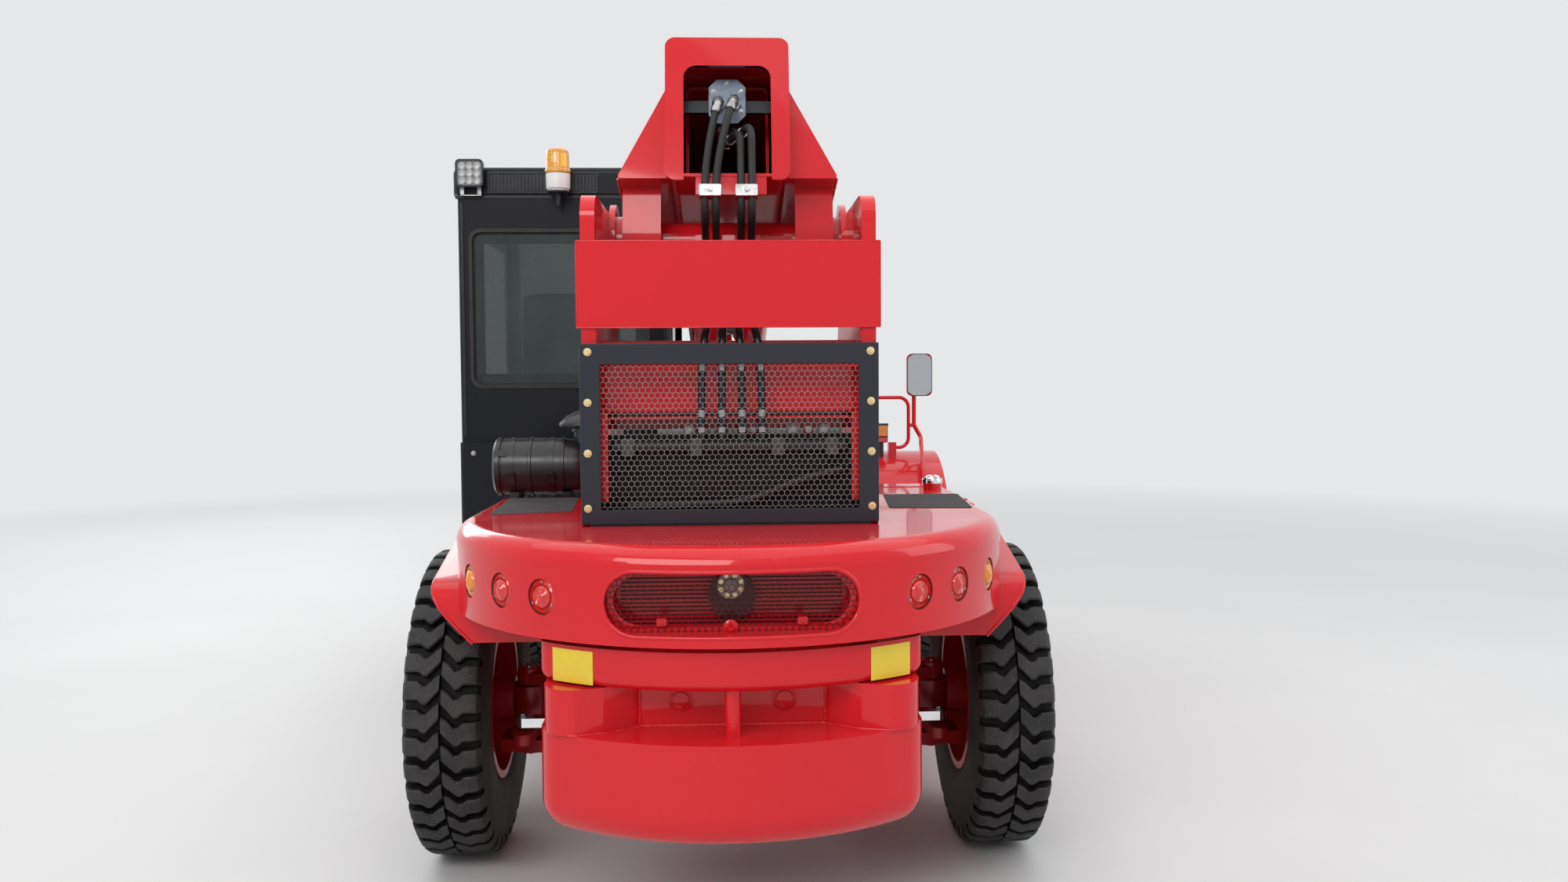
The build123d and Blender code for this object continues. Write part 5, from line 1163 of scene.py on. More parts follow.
for along in (0.060, 0.205):  # clamp bands
    lathe(shape, [(along, size * 0.957), (along, size * 0.985), (along + 0.020, size * 0.985),
        (along + 0.020, size * 0.957)], start, acrossX, 72, closed=True)
    for turn in (200, 340):
        angle = radians(turn)
        out = aroundX(angle)
        middle = start + acrossX * (along + 0.010) + out * (size * 0.985)
        plane = planeAt(middle, acrossX, out.cross(acrossX) * -1)
        prism(shape, roundedBox(0.030, 0.044, 0.003, 2), plane, 0.010, start=-0.004)
for turn in (30, 150, 270):  # latches of the end cover
    angle = radians(turn)
    out = aroundX(angle)
    middle = start + acrossX * 0.030 + out * (size * 0.97)
    plane = planeAt(middle, acrossX, out.cross(acrossX) * -1)
    prism(shape, roundedBox(0.046, 0.024, 0.003, 2), plane, 0.006, 1, start=-0.002)
# ribbed duct to the engine bay
ductLine = []
for step in range(9):
    along = step * 0.0115
    ductLine += [(along, 0.080), (along + 0.0045, 0.080), (along + 0.0065, 0.074), (along + 0.0095, 0.074)]
lathe(shape, [(0.0, 0.0)] + ductLine + [(0.104, 0.0)],
    spot(cleaner["right"], cleaner["station"], cleaner["height"]), acrossX, 48, 2)
# stack with its hood
stack = spot(cleaner["stackX"], cleaner["station"], cleaner["height"])
puck(shape, [(0.0, 0.045), (0.128, 0.045), (0.130, 0.052), (0.142, 0.052), (0.146, 0.060), (0.150, 0.098),
    (0.156, 0.1005), (0.160, 0.0995), (0.170, 0.092), (0.188, 0.074), (0.202, 0.048), (0.211, 0.020),
    (0.215, 0.010)], stack, upZ, 56, 1)
puck(shape, [(0.214, 0.012), (0.222, 0.012), (0.224, 0.009)], stack, upZ, 6, 1)
# cradle down to the fender
for x in (-0.800, -0.610):
    boxAt(shape, (x - 0.020, 0.370, 1.104), (x + 0.020, 0.530, 1.112))
    boxAt(shape, (x - 0.016, 0.385, 1.110), (x + 0.016, 0.515, 1.180))
    for station in (0.376, 0.524):
        bolt(shape, spot(x, station, 1.112), upZ, 0.007, 3)
finishShape("airCleaner", shape, ["glossPlastic", "glossPlastic", "sealRubber", "bareSteel"], "chassis", 38,
    stands=["air_cleaner"])
print("air cleaner built")


# engine bay seen through the mesh, and the cooler behind the hood's slot
bay = {"wallStation": -0.470, "wallLow": 1.446, "wallHigh": 1.515, "half": 0.384, "shroudStation": -0.600,
    "shroudHigh": 1.435,
       "pipes": (-0.078, -0.022, 0.033, 0.088), "pipeStation": -0.605, "pipeTop": 1.790, "pipeFoot": 1.440,
       "fittingsX": (-0.123, 0.069, 0.190, 0.238, 0.287)}
shape = startShape()
for low, high, station in ((bay["wallLow"], bay["wallHigh"], bay["wallStation"]), (1.615, 1.712, -0.505)):
    prism(shape, roundedBox(2 * bay["half"], high - low, 0.004, 2), rearPlane(0, station, (low + high) / 2),
        0.012)
for side in (-1, 1):  # flanges along both towers
    boxAt(shape, (side * 0.370 - 0.014, -0.628, 1.24), (side * 0.370 + 0.014, -0.620, 1.50))
boxAt(shape, (-bay["half"], -0.560, 1.478), (bay["half"], -0.484, 1.486))
finishShape("bayWall", shape, "redPaint", edge=0.002)

shape = startShape()
middle = (1.185 + bay["shroudHigh"]) / 2
prism(shape, roundedBox(0.760, bay["shroudHigh"] - 1.185, 0.020),
    rearPlane(0, bay["shroudStation"] + 0.026, middle), 0.014)
for row in range(6):  # pressed ribs
    prism(shape, roundedBox(0.700, 0.016, 0.006, 3, (0, 1.215 + row * 0.038 - middle)),
        rearPlane(0, bay["shroudStation"], middle), 0.006, start=-0.014)
puck(shape, [(-0.34, 0.017), (0.34, 0.017)], spot(0, -0.606, 1.398), acrossX, 20, 1)
tube(shape, bentPath([spot(0.33, -0.615, 1.33), spot(0.20, -0.618, 1.30), spot(0.05, -0.622, 1.235),
    spot(-0.30, -0.622, 1.225)], 0.08), 0.011, 14, 1)
for x in (-0.30, -0.10, 0.14, 0.30):
    prism(shape, roundedBox(0.034, 0.052, 0.004, 2), rearPlane(x, -0.618, 1.398), 0.008, 2)
# the shroud takes the darkest rubber: painted shade in the engine bay
finishShape("bayShroud", shape, ["deepShadeRubber", "hoseRubber", "castIron"], edge=0.0015)

shape = startShape()
for index, x in enumerate(bay["pipes"]):
    drift = (index - 1.5) * 0.004
    tube(shape, bentPath([spot(x * 0.7, -0.560, bay["pipeTop"]), spot(x, bay["pipeStation"], 1.700),
        spot(x + drift, bay["pipeStation"], 1.560), spot(x + drift, bay["pipeStation"], bay["pipeFoot"])],
        0.06), 0.0115, 16)
    for low, high, size in ((1.440, 1.456, 0.0175), (1.486, 1.506, 0.0140), (1.622, 1.642, 0.0140),
            (1.652, 1.666, 0.0175)):
        sides = 6 if high - low < 0.02 else 20
        puck(shape, [(0, size), (high - low - 0.002, size), (high - low, size - 0.002)],
            spot(x + drift * (1.0 if low < 1.58 else 0.5), bay["pipeStation"], low), upZ, sides, 1)
    tube(shape, bentPath([spot(x + drift, bay["pipeStation"], 1.444),
        spot(x + drift, bay["pipeStation"], 1.408), spot(x * 1.2, -0.575, 1.400)], 0.03), 0.0125, 14)
for index, x in enumerate(bay["fittingsX"]):
    plane = rearPlane(x, -0.470, 1.443)
    prism(shape, roundedBox(0.030, 0.030, 0.005, 3), plane, 0.030, 2 if index % 2 else 3)
    puck(shape, [(0.0, 0.011), (0.010, 0.011), (0.012, 0.008)], spot(x, -0.500, 1.443), -alongY, 16, 3)
prism(shape, roundedBox(0.560, 0.060, 0.006, 3), rearPlane(0.060, -0.455, 1.440), 0.020, 1)
finishShape("bayPipes", shape, ["satinBlack", "bareSteel", "redPaint", "whitePlastic"])

slot = {"half": 0.247, "radius": 0.083, "middle": 1.029}


def slotLine(grown=0.0, steps=14):
    points = []
    for sign, start in ((1, -90), (-1, 90)):
        for step in range(steps + 1):
            turn = radians(start + 180 * step / steps)
            points.append((sign * slot["half"] + (slot["radius"] + grown) * cos(turn),
                slot["middle"] + (slot["radius"] + grown) * sin(turn)))
        for step in range(1, 8):
            share = step / 8
            points.append((sign * slot["half"] * (1 - 2 * share),
                slot["middle"] + sign * (slot["radius"] + grown)))
    return points


shape = startShape()
lip = []
for x, height in slotLine(0.001) + slotLine(0.001)[:1]:
    station = lamps["hoodCentre"] - sqrt(lamps["hoodRadius"] ** 2 - x * x)
    lip.append(spot(x, station + 0.003, height))
tube(shape, lip, 0.006, 10, caps=False)
finishShape("slotLip", shape, "redPaint", "chassis", 50)

shape = startShape()
flat = rearPlane(0, -1.076, 0)
inner = [(x * 0.93, slot["middle"] + (z - slot["middle"]) * 0.80) for x, z in slotLine(0.0)]
frameRing(shape, slotLine(0.004), inner, flat, 0.004)
for side in (-1, 1):
    prism(shape, roundedBox(0.026, 0.020, 0.003, 2), rearPlane(side * 0.182, -1.0855, 0.972), 0.006)
    bolt(shape, spot(side * 0.182, -1.0915, 0.972), -alongY, 0.006)
puck(shape, [(0.0, 0.020), (0.004, 0.020), (0.009, 0.010), (0.012, 0.008)], spot(-0.004, -1.0855, 0.957),
    -alongY, 20)
finishShape("slotFrame", shape, "redPaint")

shape = startShape()
fan = spot(-0.003, -1.0302, 1.058)
puck(shape, [(0.0, 0.037), (0.008, 0.037), (0.010, 0.035), (0.010, 0.020), (0.014, 0.017), (0.016, 0.008)],
    fan, -alongY, 40)
for step in range(8):
    turn = tau * (step + 0.5) / 8
    bolt(shape, fan + Vector((0.028 * cos(turn), -0.010, 0.028 * sin(turn))), -alongY, 0.0048, 1)
finishShape("fanDisc", shape, ["castAlloy", "brassPlate"])

shape = startShape()
for row in range(22):  # cooler fins and the dark red carrier round them
    boxAt(shape, (-0.325, -1.006, 0.912 + row * 0.011), (0.325, -1.001, 0.9185 + row * 0.011))
for side in (-1, 1):
    boxAt(shape, (side * 0.31 - 0.018, -1.016, 0.905), (side * 0.31 + 0.018, -1.001, 1.150))
    boxAt(shape, (side * 0.17 - 0.070, -1.012, 1.085), (side * 0.17 + 0.070, -1.001, 1.118))
boxAt(shape, (-0.330, -1.018, 0.905), (0.330, -1.001, 0.935))
finishShape("coolerFace", shape, "redPaint")
print("engine bay dressed")


# rear fenders
rearFender = {"inner": 0.427, "outer": 0.893, "thick": 0.008, "rear": -0.588, "bend": 0.150, "lowX": 0.770,
              "side": ((-0.588, 0.822), (-0.588, 0.985), (-0.110, 1.103), (0.480, 1.103), (0.567, 0.905))}
for side, label in ((-1, "Left"), (1, "Right")):
    corners = [Vector((station, height, 0)) for station, height in rearFender["side"]]
    line = []
    for before, after in zip(bentPath(corners, rearFender["bend"], 8),
            bentPath(corners, rearFender["bend"], 8)[1:]):
        count = max(1, int((after - before).length / 0.03))
        line += [before.lerp(after, step / count) for step in range(count)]
    line.append(corners[-1])
    shape = startShape()
    rows = []
    for index, point in enumerate(line):
        ahead = (line[min(index + 1, len(line) - 1)] - line[max(index - 1, 0)]).normalized()
        inward = Vector((ahead.y, -ahead.x, 0))
        reach = rearFender["outer"]
        if point.x < -0.3 and point.y < 1.0:  # the apron tapers in below
            share = max(0.0, min(1.0, (1.0 - point.y) / 0.178))
            reach -= (rearFender["outer"] - rearFender["lowX"]) * (1 - cos(share * pi / 2)) ** 0.9
        row = []
        for x, depth in ((rearFender["inner"], 0), (reach - 0.004, 0), (reach, 0.003),
                (reach, rearFender["thick"]), (rearFender["inner"], rearFender["thick"])):
            place = point + inward * depth
            row.append(shape.verts.new(spot(side * x, place.x, place.y)))
        rows.append(row)
    skinRows(shape, rows)
    addFace(shape, rows[0])
    addFace(shape, rows[-1])
    edgeLine = [row[2].co.copy() for row in rows]
    tube(shape, [place + Vector((-side * 0.004, 0, -0.003)) for place in edgeLine], 0.006, 10)
    finishShape(f"rearFender{label}", shape, "redPaint", "chassis", 40,
        stands=[f"rear_fender_{label.lower()}"])
print("rear fenders built")


# cab dressing
def sideBand(shape, plane, width, height, corner, band, depth, paint=0, start=0.0):
    frameRing(shape, roundedBox(width, height, corner, 8), roundedBox(width - 2 * band, height - 2 * band,
        max(corner - band, 0.006), 8), plane, depth, paint, start)


def leftPlane(station, height, x):
    return planeAt(spot(x, station, height), -alongY, upZ)


def rightPlane(station, height, x):
    return planeAt(spot(x, station, height), alongY, upZ)


cab = {"left": -1.150, "right": -0.250, "rear": 1.130, "tubRear": 1.095, "front": 2.580}
windows = {
    "rear": (rearPlane(-0.720, cab["rear"], 1.9005), 0.740, 0.655),
    "right": (rightPlane(1.875, 1.850, cab["right"]), 1.170, 0.900),
    "door": (leftPlane(1.900, 1.795, cab["left"]), 0.820, 0.990)}
for label, (plane, width, height) in windows.items():
    body = "door" if label == "door" else "chassis"
    shape = startShape()
    sideBand(shape, plane, width + 0.026, height + 0.026, 0.053, 0.017, 0.0045, start=-0.0005)
    sideBand(shape, plane, width - 0.002, height - 0.002, 0.040, 0.010, 0.003, start=-0.0125)
    finishShape(f"{label}WindowSeal", shape, "sealRubber", body, 30, edge=0.0015)
    shape = startShape()
    sideBand(shape, plane, width - 0.004, height - 0.004, 0.040, 0.048, 0.0006, start=-0.0146)
    finishShape(f"{label}WindowBorder", shape, "glossPlastic", body, 30)

shape = startShape()
vents = {"left": -1.006, "right": -0.558, "low": 2.396, "high": 2.470, "pitch": 0.0148}
plane = rearPlane((vents["left"] + vents["right"]) / 2, 1.120, (vents["low"] + vents["high"]) / 2)
width, height = vents["right"] - vents["left"], vents["high"] - vents["low"]
sideBand(shape, plane, width + 0.016, height + 0.014, 0.008, 0.006, 0.004)
prism(shape, roundedBox(width, height, 0.004, 2), plane, 0.0008, 1)
count = int(width / vents["pitch"])
for step in range(count):
    u = -width / 2 + (step + 0.5) * width / count
    prism(shape, [(u - 0.0040, -height / 2 + 0.004), (u + 0.0040, -height / 2 + 0.004),
        (u + 0.0040, height / 2 - 0.004), (u - 0.0040, height / 2 - 0.004)], plane, 0.0034)
finishShape("roofVents", shape, ["satinBlack", "sealRubber"], "chassis", 30)

shape = startShape()
# drip moulding under the roof, behind and along both sides
boxAt(shape, (cab["left"] - 0.004, cab["rear"] - 0.004, 2.368),
    (cab["right"] + 0.004, cab["rear"] + 0.002, 2.380))
boxAt(shape, (cab["left"] - 0.004, cab["rear"], 2.368), (cab["left"] + 0.001, cab["front"] - 0.100, 2.380))
boxAt(shape, (cab["right"] - 0.001, cab["rear"], 2.368), (cab["right"] + 0.004, cab["front"] - 0.100, 2.380))
for x in (cab["left"] + 0.022, cab["right"] - 0.022):  # ribs pressed in the rear corners
    boxAt(shape, (x - 0.006, cab["rear"] - 0.004, 1.360), (x + 0.006, cab["rear"] + 0.002, 2.350))
for x in (-1.09, -0.90, -0.70, -0.50, -0.31):
    bolt(shape, spot(x, cab["tubRear"], 1.285), -alongY, 0.008, 1)
for step in range(9):
    boxAt(shape, (-0.94 + step * 0.055, cab["tubRear"] - 0.003, 1.075),
        (-0.915 + step * 0.055, cab["tubRear"] + 0.001, 1.180))
finishShape("cabTrim", shape, ["satinBlack", "bareSteel"], edge=0.0012)

shape = startShape()  # handle, lock and frame line on the door
doorAt = {"x": -1.150, "rear": 1.420, "front": 2.380, "low": 1.060, "high": 2.345}
plane = leftPlane((doorAt["rear"] + doorAt["front"]) / 2, (doorAt["low"] + doorAt["high"]) / 2, doorAt["x"])
sideBand(shape, plane, doorAt["front"] - doorAt["rear"] - 0.030, doorAt["high"] - doorAt["low"] - 0.030,
    0.030, 0.008, 0.003)
plane = leftPlane(2.300, 1.205, doorAt["x"])
prism(shape, roundedBox(0.105, 0.060, 0.012), plane, 0.006)
tube(shape, bentPath([plane @ Vector((0.042, 0.0, 0.004)), plane @ Vector((0.038, 0.0, 0.030)),
    plane @ Vector((-0.034, 0.0, 0.034)), plane @ Vector((-0.040, 0.0, 0.006))], 0.012), 0.008, 12)
lathe(shape, [(0, 0.011), (0.004, 0.011), (0.005, 0.009), (0.005, 0.0)],
    plane @ Vector((0.0, -0.018, 0.006)), (-1, 0, 0), 20, 1)
tube(shape, bentPath([spot(-1.152, 1.560, 1.150), spot(-1.176, 1.560, 1.150), spot(-1.176, 1.560, 1.255),
    spot(-1.152, 1.560, 1.255)], 0.012), 0.007, 10)
finishShape("doorTrim", shape, ["satinBlack", "bareSteel"], "door")

shape = startShape()  # wiper on the front pane
foot = spot(-0.710, 2.586, 1.470)
puck(shape, [(-0.020, 0.020), (0.010, 0.020), (0.014, 0.014)], foot, alongY, 20)
leanPane = 0.090 / (2.387 - 1.500)
armEnd = spot(-0.560, 2.566 - leanPane * 0.46, 1.960)
tube(shape, [foot + alongY * 0.008, foot.lerp(armEnd, 0.5) + alongY * 0.020, armEnd + alongY * 0.014],
    [0.006, 0.005, 0.004], 8)
tube(shape, [spot(-0.620, 2.566 - leanPane * 0.24, 1.740), armEnd,
    spot(-0.500, 2.566 - leanPane * 0.68, 2.180)], 0.005, 8, 1)
finishShape("screenWiper", shape, ["satinBlack", "sealRubber"])
print("cab dressed")


# seat and controls
def cornerPull(u, v):
    return 1 - 0.055 * (abs(u) ** 3) * (abs(v) ** 3)


def cushion(name, centre, across, up, size, crown, grooves):
    # a crowned pad with rounded sides, pulled in along its sewn channels
    plane = planeAt(centre, across, up)
    halfU, halfV, halfW = (part / 2 for part in size)
    countU, countV = 28, 28
    shape = startShape()
    faces = {}
    for level in (-1, 1):
        for row in range(countV + 1):
            for column in range(countU + 1):
                u, v = -1 + 2 * column / countU, -1 + 2 * row / countV
                rim = (1 - abs(u) ** 5) * (1 - abs(v) ** 5)
                swell = max(rim, 0) ** 0.38
                corner = cornerPull(u, v)
                pull = 1 - 0.020 * (1 - v * v) * abs(u) ** 4
                lift = halfW * swell * (1.0 if level > 0 else 0.85)
                if level > 0:
                    lift += crown * (1 - u * u) * (1 - v * v)
                    for axis, at in grooves:
                        apart = abs((u if axis == "u" else v) - at)
                        lift -= 0.010 * exp(-(apart / 0.045) ** 2) * min(1, rim * 3)
                    wrinkle = noise.noise(Vector((u * 2.5, v * 2.5, halfU * 40)))
                    lift += 0.0025 * wrinkle * min(1, rim * 2)
                place = plane @ Vector((u * halfU * corner * pull, v * halfV * corner, level * lift))
                if abs(u) == 1 or abs(v) == 1:
                    place = plane @ Vector((u * halfU * corner, v * halfV * corner, 0))
                    key = (row, column)
                else:
                    key = (level, row, column)
                if key not in faces:
                    faces[key] = shape.verts.new(place)

    def pick(level, row, column):
        return faces.get((row, column)) or faces[(level, row, column)]

    for level in (-1, 1):
        for row in range(countV):
            for column in range(countU):
                addFace(shape, (pick(level, row, column), pick(level, row, column + 1),
                    pick(level, row + 1, column + 1), pick(level, row + 1, column)))
    # piping round the widest line
    rim = [(-1 + 2 * c / countU, -1) for c in range(countU)] + [(1,
        -1 + 2 * r / countV) for r in range(countV)]
    rim += [(1 - 2 * c / countU, 1) for c in range(countU)] + [(-1,
        1 - 2 * r / countV) for r in range(countV)] + [(-1, -1)]
    tube(shape, [plane @ Vector((u * halfU * cornerPull(u, v), v * halfV * cornerPull(u, v), 0)) for u,
        v in rim], 0.004, 6, caps=False)
    piece = finishShape(name, shape, "seatVinyl", "chassis", 70,
        stands=["operator_seat"] if name == "seatBack" else ())
    return piece


seat = {"x": -0.700, "width": 0.450}
cushion("seatCushion", spot(seat["x"], 1.660, 1.408), acrossX, alongY, (seat["width"], 0.430, 0.116), 0.006,
    (("v", -0.35), ("v", 0.30), ("u", -0.62), ("u", 0.62)))
cushion("seatBack", spot(seat["x"], 1.392, 1.715), acrossX, Vector((0, -0.14, 0.99)), (seat["width"] - 0.02,
    0.530, 0.104), 0.006, (("v", -0.45), ("v", 0.0), ("v", 0.45), ("u", -0.62), ("u", 0.62)))
shape = startShape()
boxAt(shape, (-0.900, 1.420, 1.040), (-0.500, 1.850, 1.160))
for row in range(5):  # folded suspension boot
    inset = 0.012 if row % 2 else 0.0
    boxAt(shape, (-0.885 + inset, 1.440 + inset, 1.160 + row * 0.032),
        (-0.515 - inset, 1.840 - inset, 1.193 + row * 0.032), 1)
boxAt(shape, (-0.915, 1.430, 1.318), (-0.485, 1.870, 1.346))
for side in (-1, 1):
    tube(shape, bentPath([spot(seat["x"] + side * 0.236, 1.375, 1.420), spot(seat["x"] + side * 0.250, 1.365,
        1.640), spot(seat["x"] + side * 0.246, 1.640, 1.655)], 0.05), 0.014, 12)
    prism(shape, roundedBox(0.052, 0.240, 0.020),
        planeAt(spot(seat["x"] + side * 0.246, 1.520, 1.660), (1, 0, 0), (0, 1, 0)), 0.030)
finishShape("seatFrame", shape, ["darkPlastic", "sealRubber"], edge=0.003)

shape = startShape()  # levers, screen and pedals round the wheel
for x, station, lean in ((-0.430, 1.900, 0.02), (-0.395, 1.960, -0.015), (-0.430, 2.020, 0.01)):
    footAt = spot(x, station, 1.420)
    tube(shape, [footAt, footAt + Vector((lean, 0.010, 0.150))], 0.005, 10, 1)
    lathe(shape, [(0.0, 0.0), (0.0, 0.010), (0.010, 0.016), (0.034, 0.018), (0.050, 0.012), (0.054, 0.0)],
        footAt + Vector((lean, 0.010, 0.140)), upZ, 20)
boxAt(shape, (-0.480, 1.560, 1.040), (-0.350, 2.080, 1.400))
boxAt(shape, (-0.474, 1.840, 1.398), (-0.356, 2.060, 1.424), 2)
plane = planeAt(spot(-0.560, 2.240, 1.640), (1, 0, 0), (0, 0.35, 0.94))
prism(shape, roundedBox(0.180, 0.110, 0.012), plane, 0.030, start=-0.030)
prism(shape, roundedBox(0.160, 0.090, 0.006), plane, 0.001, 2)
for x in (-0.80, -0.62):
    prism(shape, roundedBox(0.075, 0.110, 0.008), planeAt(spot(x, 2.180, 1.110), (1, 0, 0), (0, 0.7, 0.7)),
        0.012, 2)
    tube(shape, [spot(x, 2.190, 1.110), spot(x, 2.250, 1.050)], 0.008, 8, 1)
finishShape("cabControls", shape, ["darkPlastic", "bareSteel", "glossPlastic"], edge=0.002)
print("seat and controls built")


# hubs, nuts and steering joints
hub = {"bossOut": 0.070, "nutRing": 0.172, "nuts": 10, "nutSize": 0.0135, "capRadius": 0.062,
    "valveRing": 0.222}
for end in ("rear", "front"):
    for side, sign in (("left", -1), ("right", 1)):
        offset = 0.2 * tyre[end + "Width"]
        middle = spot(sign * tyre[end + "Track"] / 2, 0 if end == "rear" else frontAxle, tyre[end + "Radius"])
        out = acrossX * sign
        disc, boss = middle + out * (offset + 0.006), middle + out * (offset + hub["bossOut"])
        shape = startShape()
        lathe(shape, [(-0.004, 0.100), (-0.004, 0.1215), (0.001, 0.1215), (0.003, 0.118), (0.003, 0.074),
            (0.001, 0.070), (0.001, hub["capRadius"]), (0.003, hub["capRadius"] - 0.002), (0.006, 0.050),
            (0.0068, 0.030), (0.0068, 0.016), (0.0055, 0.014), (0.0055, 0.0)], boss, out, 56)
        for step in range(hub["nuts"]):
            turn = tau * (step + 0.5) / hub["nuts"]
            way = aroundX(turn)
            puck(shape, [(0.0, 0.022), (0.0028, 0.022), (0.0032, 0.0165)], disc + way * hub["nutRing"], out,
                20, 1)
            bolt(shape, disc + way * hub["nutRing"] + out * 0.003, out, hub["nutSize"], 1, washer=False,
                head=1.1)
            puck(shape, [(0.0, 0.0072), (0.024, 0.0072), (0.026, 0.0055)], disc + way * hub["nutRing"], out,
                12, 1)
        for step in range(8):
            turn = tau * step / 8
            bolt(shape, boss + out * 0.003 + aroundX(turn) * 0.096, out, 0.0062, 1, washer=False, head=0.6)
        valveAt = disc + Vector((0, 0, hub["valveRing"]))
        tube(shape, bentPath([valveAt, valveAt + out * 0.022, valveAt + out * 0.030 - upZ * 0.030], 0.010),
            0.0042, 8, 1)
        # a thin black ring painted as the shadow in the lock ring's gap
        lathe(shape, [(0.0005, 0.2345), (0.0005, 0.2375), (-0.004, 0.2375), (-0.004, 0.2345)], disc, out, 72,
            2, closed=True)
        # hub faces take the darker red: painted shade
        finishShape(f"hub{end.title()}{side.title()}", shape, ["wheelShadeRed", "bareSteel", "sealRubber"],
            f"wheel_{end}_{side}")

steering = {"pinX": 0.690, "topZ": 0.615, "lowZ": 0.325, "linkStation": -0.168, "linkTop": 0.485}
shape = startShape()
for sign in (-1, 1):
    for height, way in ((steering["topZ"], upZ), (steering["lowZ"], -upZ)):
        place = spot(sign * steering["pinX"], 0, height)
        lathe(shape, [(-0.016, 0.031), (-0.016, 0.043), (-0.002, 0.043), (0.002, 0.040), (0.002, 0.0)],
            place, way)
        for step in range(3):
            turn = tau * step / 3 + 0.5
            bolt(shape, place + way * 0.002 + aroundZ(turn) * 0.026, way, 0.0065, 1)
    for x in (-0.22, 0.22):
        bolt(shape, spot(sign * 0.360 + x * 0.4, -0.075, 0.600), upZ, 0.011, 1)
# the caps take the darker red: painted shade
finishShape("kingpinCaps", shape, ["underShadeRed", "bareSteel"])
shape = startShape()
for sign in (-1, 1):
    for x in (0.530, 0.690):
        puck(shape, [(0.0, 0.022), (0.004, 0.022), (0.005, 0.017)],
            spot(sign * x, steering["linkStation"], steering["linkTop"]), upZ, 24)
        bolt(shape, spot(sign * x, steering["linkStation"], steering["linkTop"] + 0.005), upZ, 0.012,
            washer=False)
finishShape("steeringPins", shape, "bareSteel", "steering_rod")

shape = startShape()  # end plate bolts on the drive axle, and its breather
for sign in (-1, 1):
    for step in range(12):
        turn = tau * step / 12
        bolt(shape, spot(sign * 0.150, frontAxle, 0.5625) + aroundX(turn) * 0.172, (sign, 0, 0), 0.008)
        bolt(shape, spot(sign * 0.780, frontAxle, 0.5625) + aroundX(turn) * 0.150, (-sign, 0, 0), 0.008)
puck(shape, [(0.0, 0.032), (0.008, 0.032), (0.010, 0.026)], spot(0, frontAxle + 0.188, 0.5625), alongY, 24)
finishShape("driveAxleBolts", shape, "bareSteel")


# cylinder glands, ports and pipes
def cylinderDress(name, body, base, tip, radius, rodRadius, short, start):
    # gland nut, wiper, welded ports and a hard pipe along the barrel
    way = (tip - base).normalized()
    length = (tip - base).length - short
    side = acrossX
    back = way.cross(side).normalized()
    shape = startShape()
    end = base + way * length
    lathe(shape, [(-0.022, radius), (-0.022, radius + 0.013), (-0.003, radius + 0.013),
        (0.0015, radius + 0.010), (0.0015, rodRadius + 0.004), (0.005, rodRadius + 0.003),
        (0.005, rodRadius + 0.0008)], end, way, 48)
    for step in range(6):
        turn = tau * step / 6
        puck(shape, [(0, 0.004), (0.0006, 0.004)],
            end + way * 0.0015 + (side * cos(turn) + back * sin(turn)) * (radius - 0.006), way, 10, 2)
    ports = []
    for along in (start, length - 0.060):
        place = base + way * along + back * (radius - 0.002)
        puck(shape, [(0.0, 0.018), (0.016, 0.018), (0.018, 0.015)], place, back, 20, 1)
        ports.append(place + back * 0.016)
    puck(shape, [(0.0, 0.013), (0.012, 0.013), (0.013, 0.010)], ports[1], back, 6)
    tube(shape, bentPath([ports[1] + back * 0.010, ports[1] + back * 0.026,
        ports[0].lerp(ports[1], 0.2) + back * 0.026, ports[0] + back * 0.004 + way * 0.03], 0.025), 0.007, 12)
    finishShape(name, shape, ["bareSteel", "satinBlack", "sealRubber"], body)


cylinderDress("liftGland", "lift_barrel_body", spot(0, 0.500, 0.600), onBoom(0, 1.000, -0.025), 0.065, 0.038,
    0.130, 0.150)
tiltTip = spot(0, 4.400 + 0.220 * cos(radians(75)), 0.620 + 0.220 * sin(radians(75)))
cylinderDress("tiltGland", "tilt_barrel_body", spot(0, 4.110, 1.480), tiltTip, 0.048, 0.028, 0.130, 0.110)


# carriage and forks
shape = startShape()
shaftAt = (4.624, 1.040)
for sign in (-1, 1):
    for apart in (-0.088, 0.088):  # collars beside each fork
        lathe(shape, [(-0.010, 0.0355), (-0.010, 0.048), (-0.008, 0.050), (0.008, 0.050), (0.010, 0.048),
            (0.010, 0.0355)], spot(sign * 0.300 + apart, *shaftAt), acrossX, closed=True)
        bolt(shape, spot(sign * 0.300 + apart, shaftAt[0] - 0.049, shaftAt[1]), -alongY, 0.006, 1,
            washer=False)
    puck(shape, [(0.0, 0.052), (0.006, 0.052), (0.008, 0.048)], spot(sign * 0.6205, *shaftAt), (sign, 0, 0),
        32)
    for turn in (0.8, 2.4, 3.9, 5.5):
        bolt(shape, spot(sign * 0.6285, shaftAt[0] + 0.034 * cos(turn), shaftAt[1] + 0.034 * sin(turn)),
            (sign, 0, 0), 0.0065, 1)
    puck(shape, [(0.0, 0.044), (0.006, 0.044), (0.008, 0.040), (0.008, 0.012), (0.012, 0.008)],
        spot(sign * 0.1750, 4.400, 0.620), (sign, 0, 0), 32)
for x in (-0.55, -0.35, -0.20, 0.20, 0.35, 0.55):
    bolt(shape, spot(x, 4.5595, 0.900), -alongY, 0.010, 1)
    bolt(shape, spot(x, 4.5595, 0.340), -alongY, 0.010, 1)
finishShape("carriageFittings", shape, ["forkBlack", "bareSteel"], "carriage")

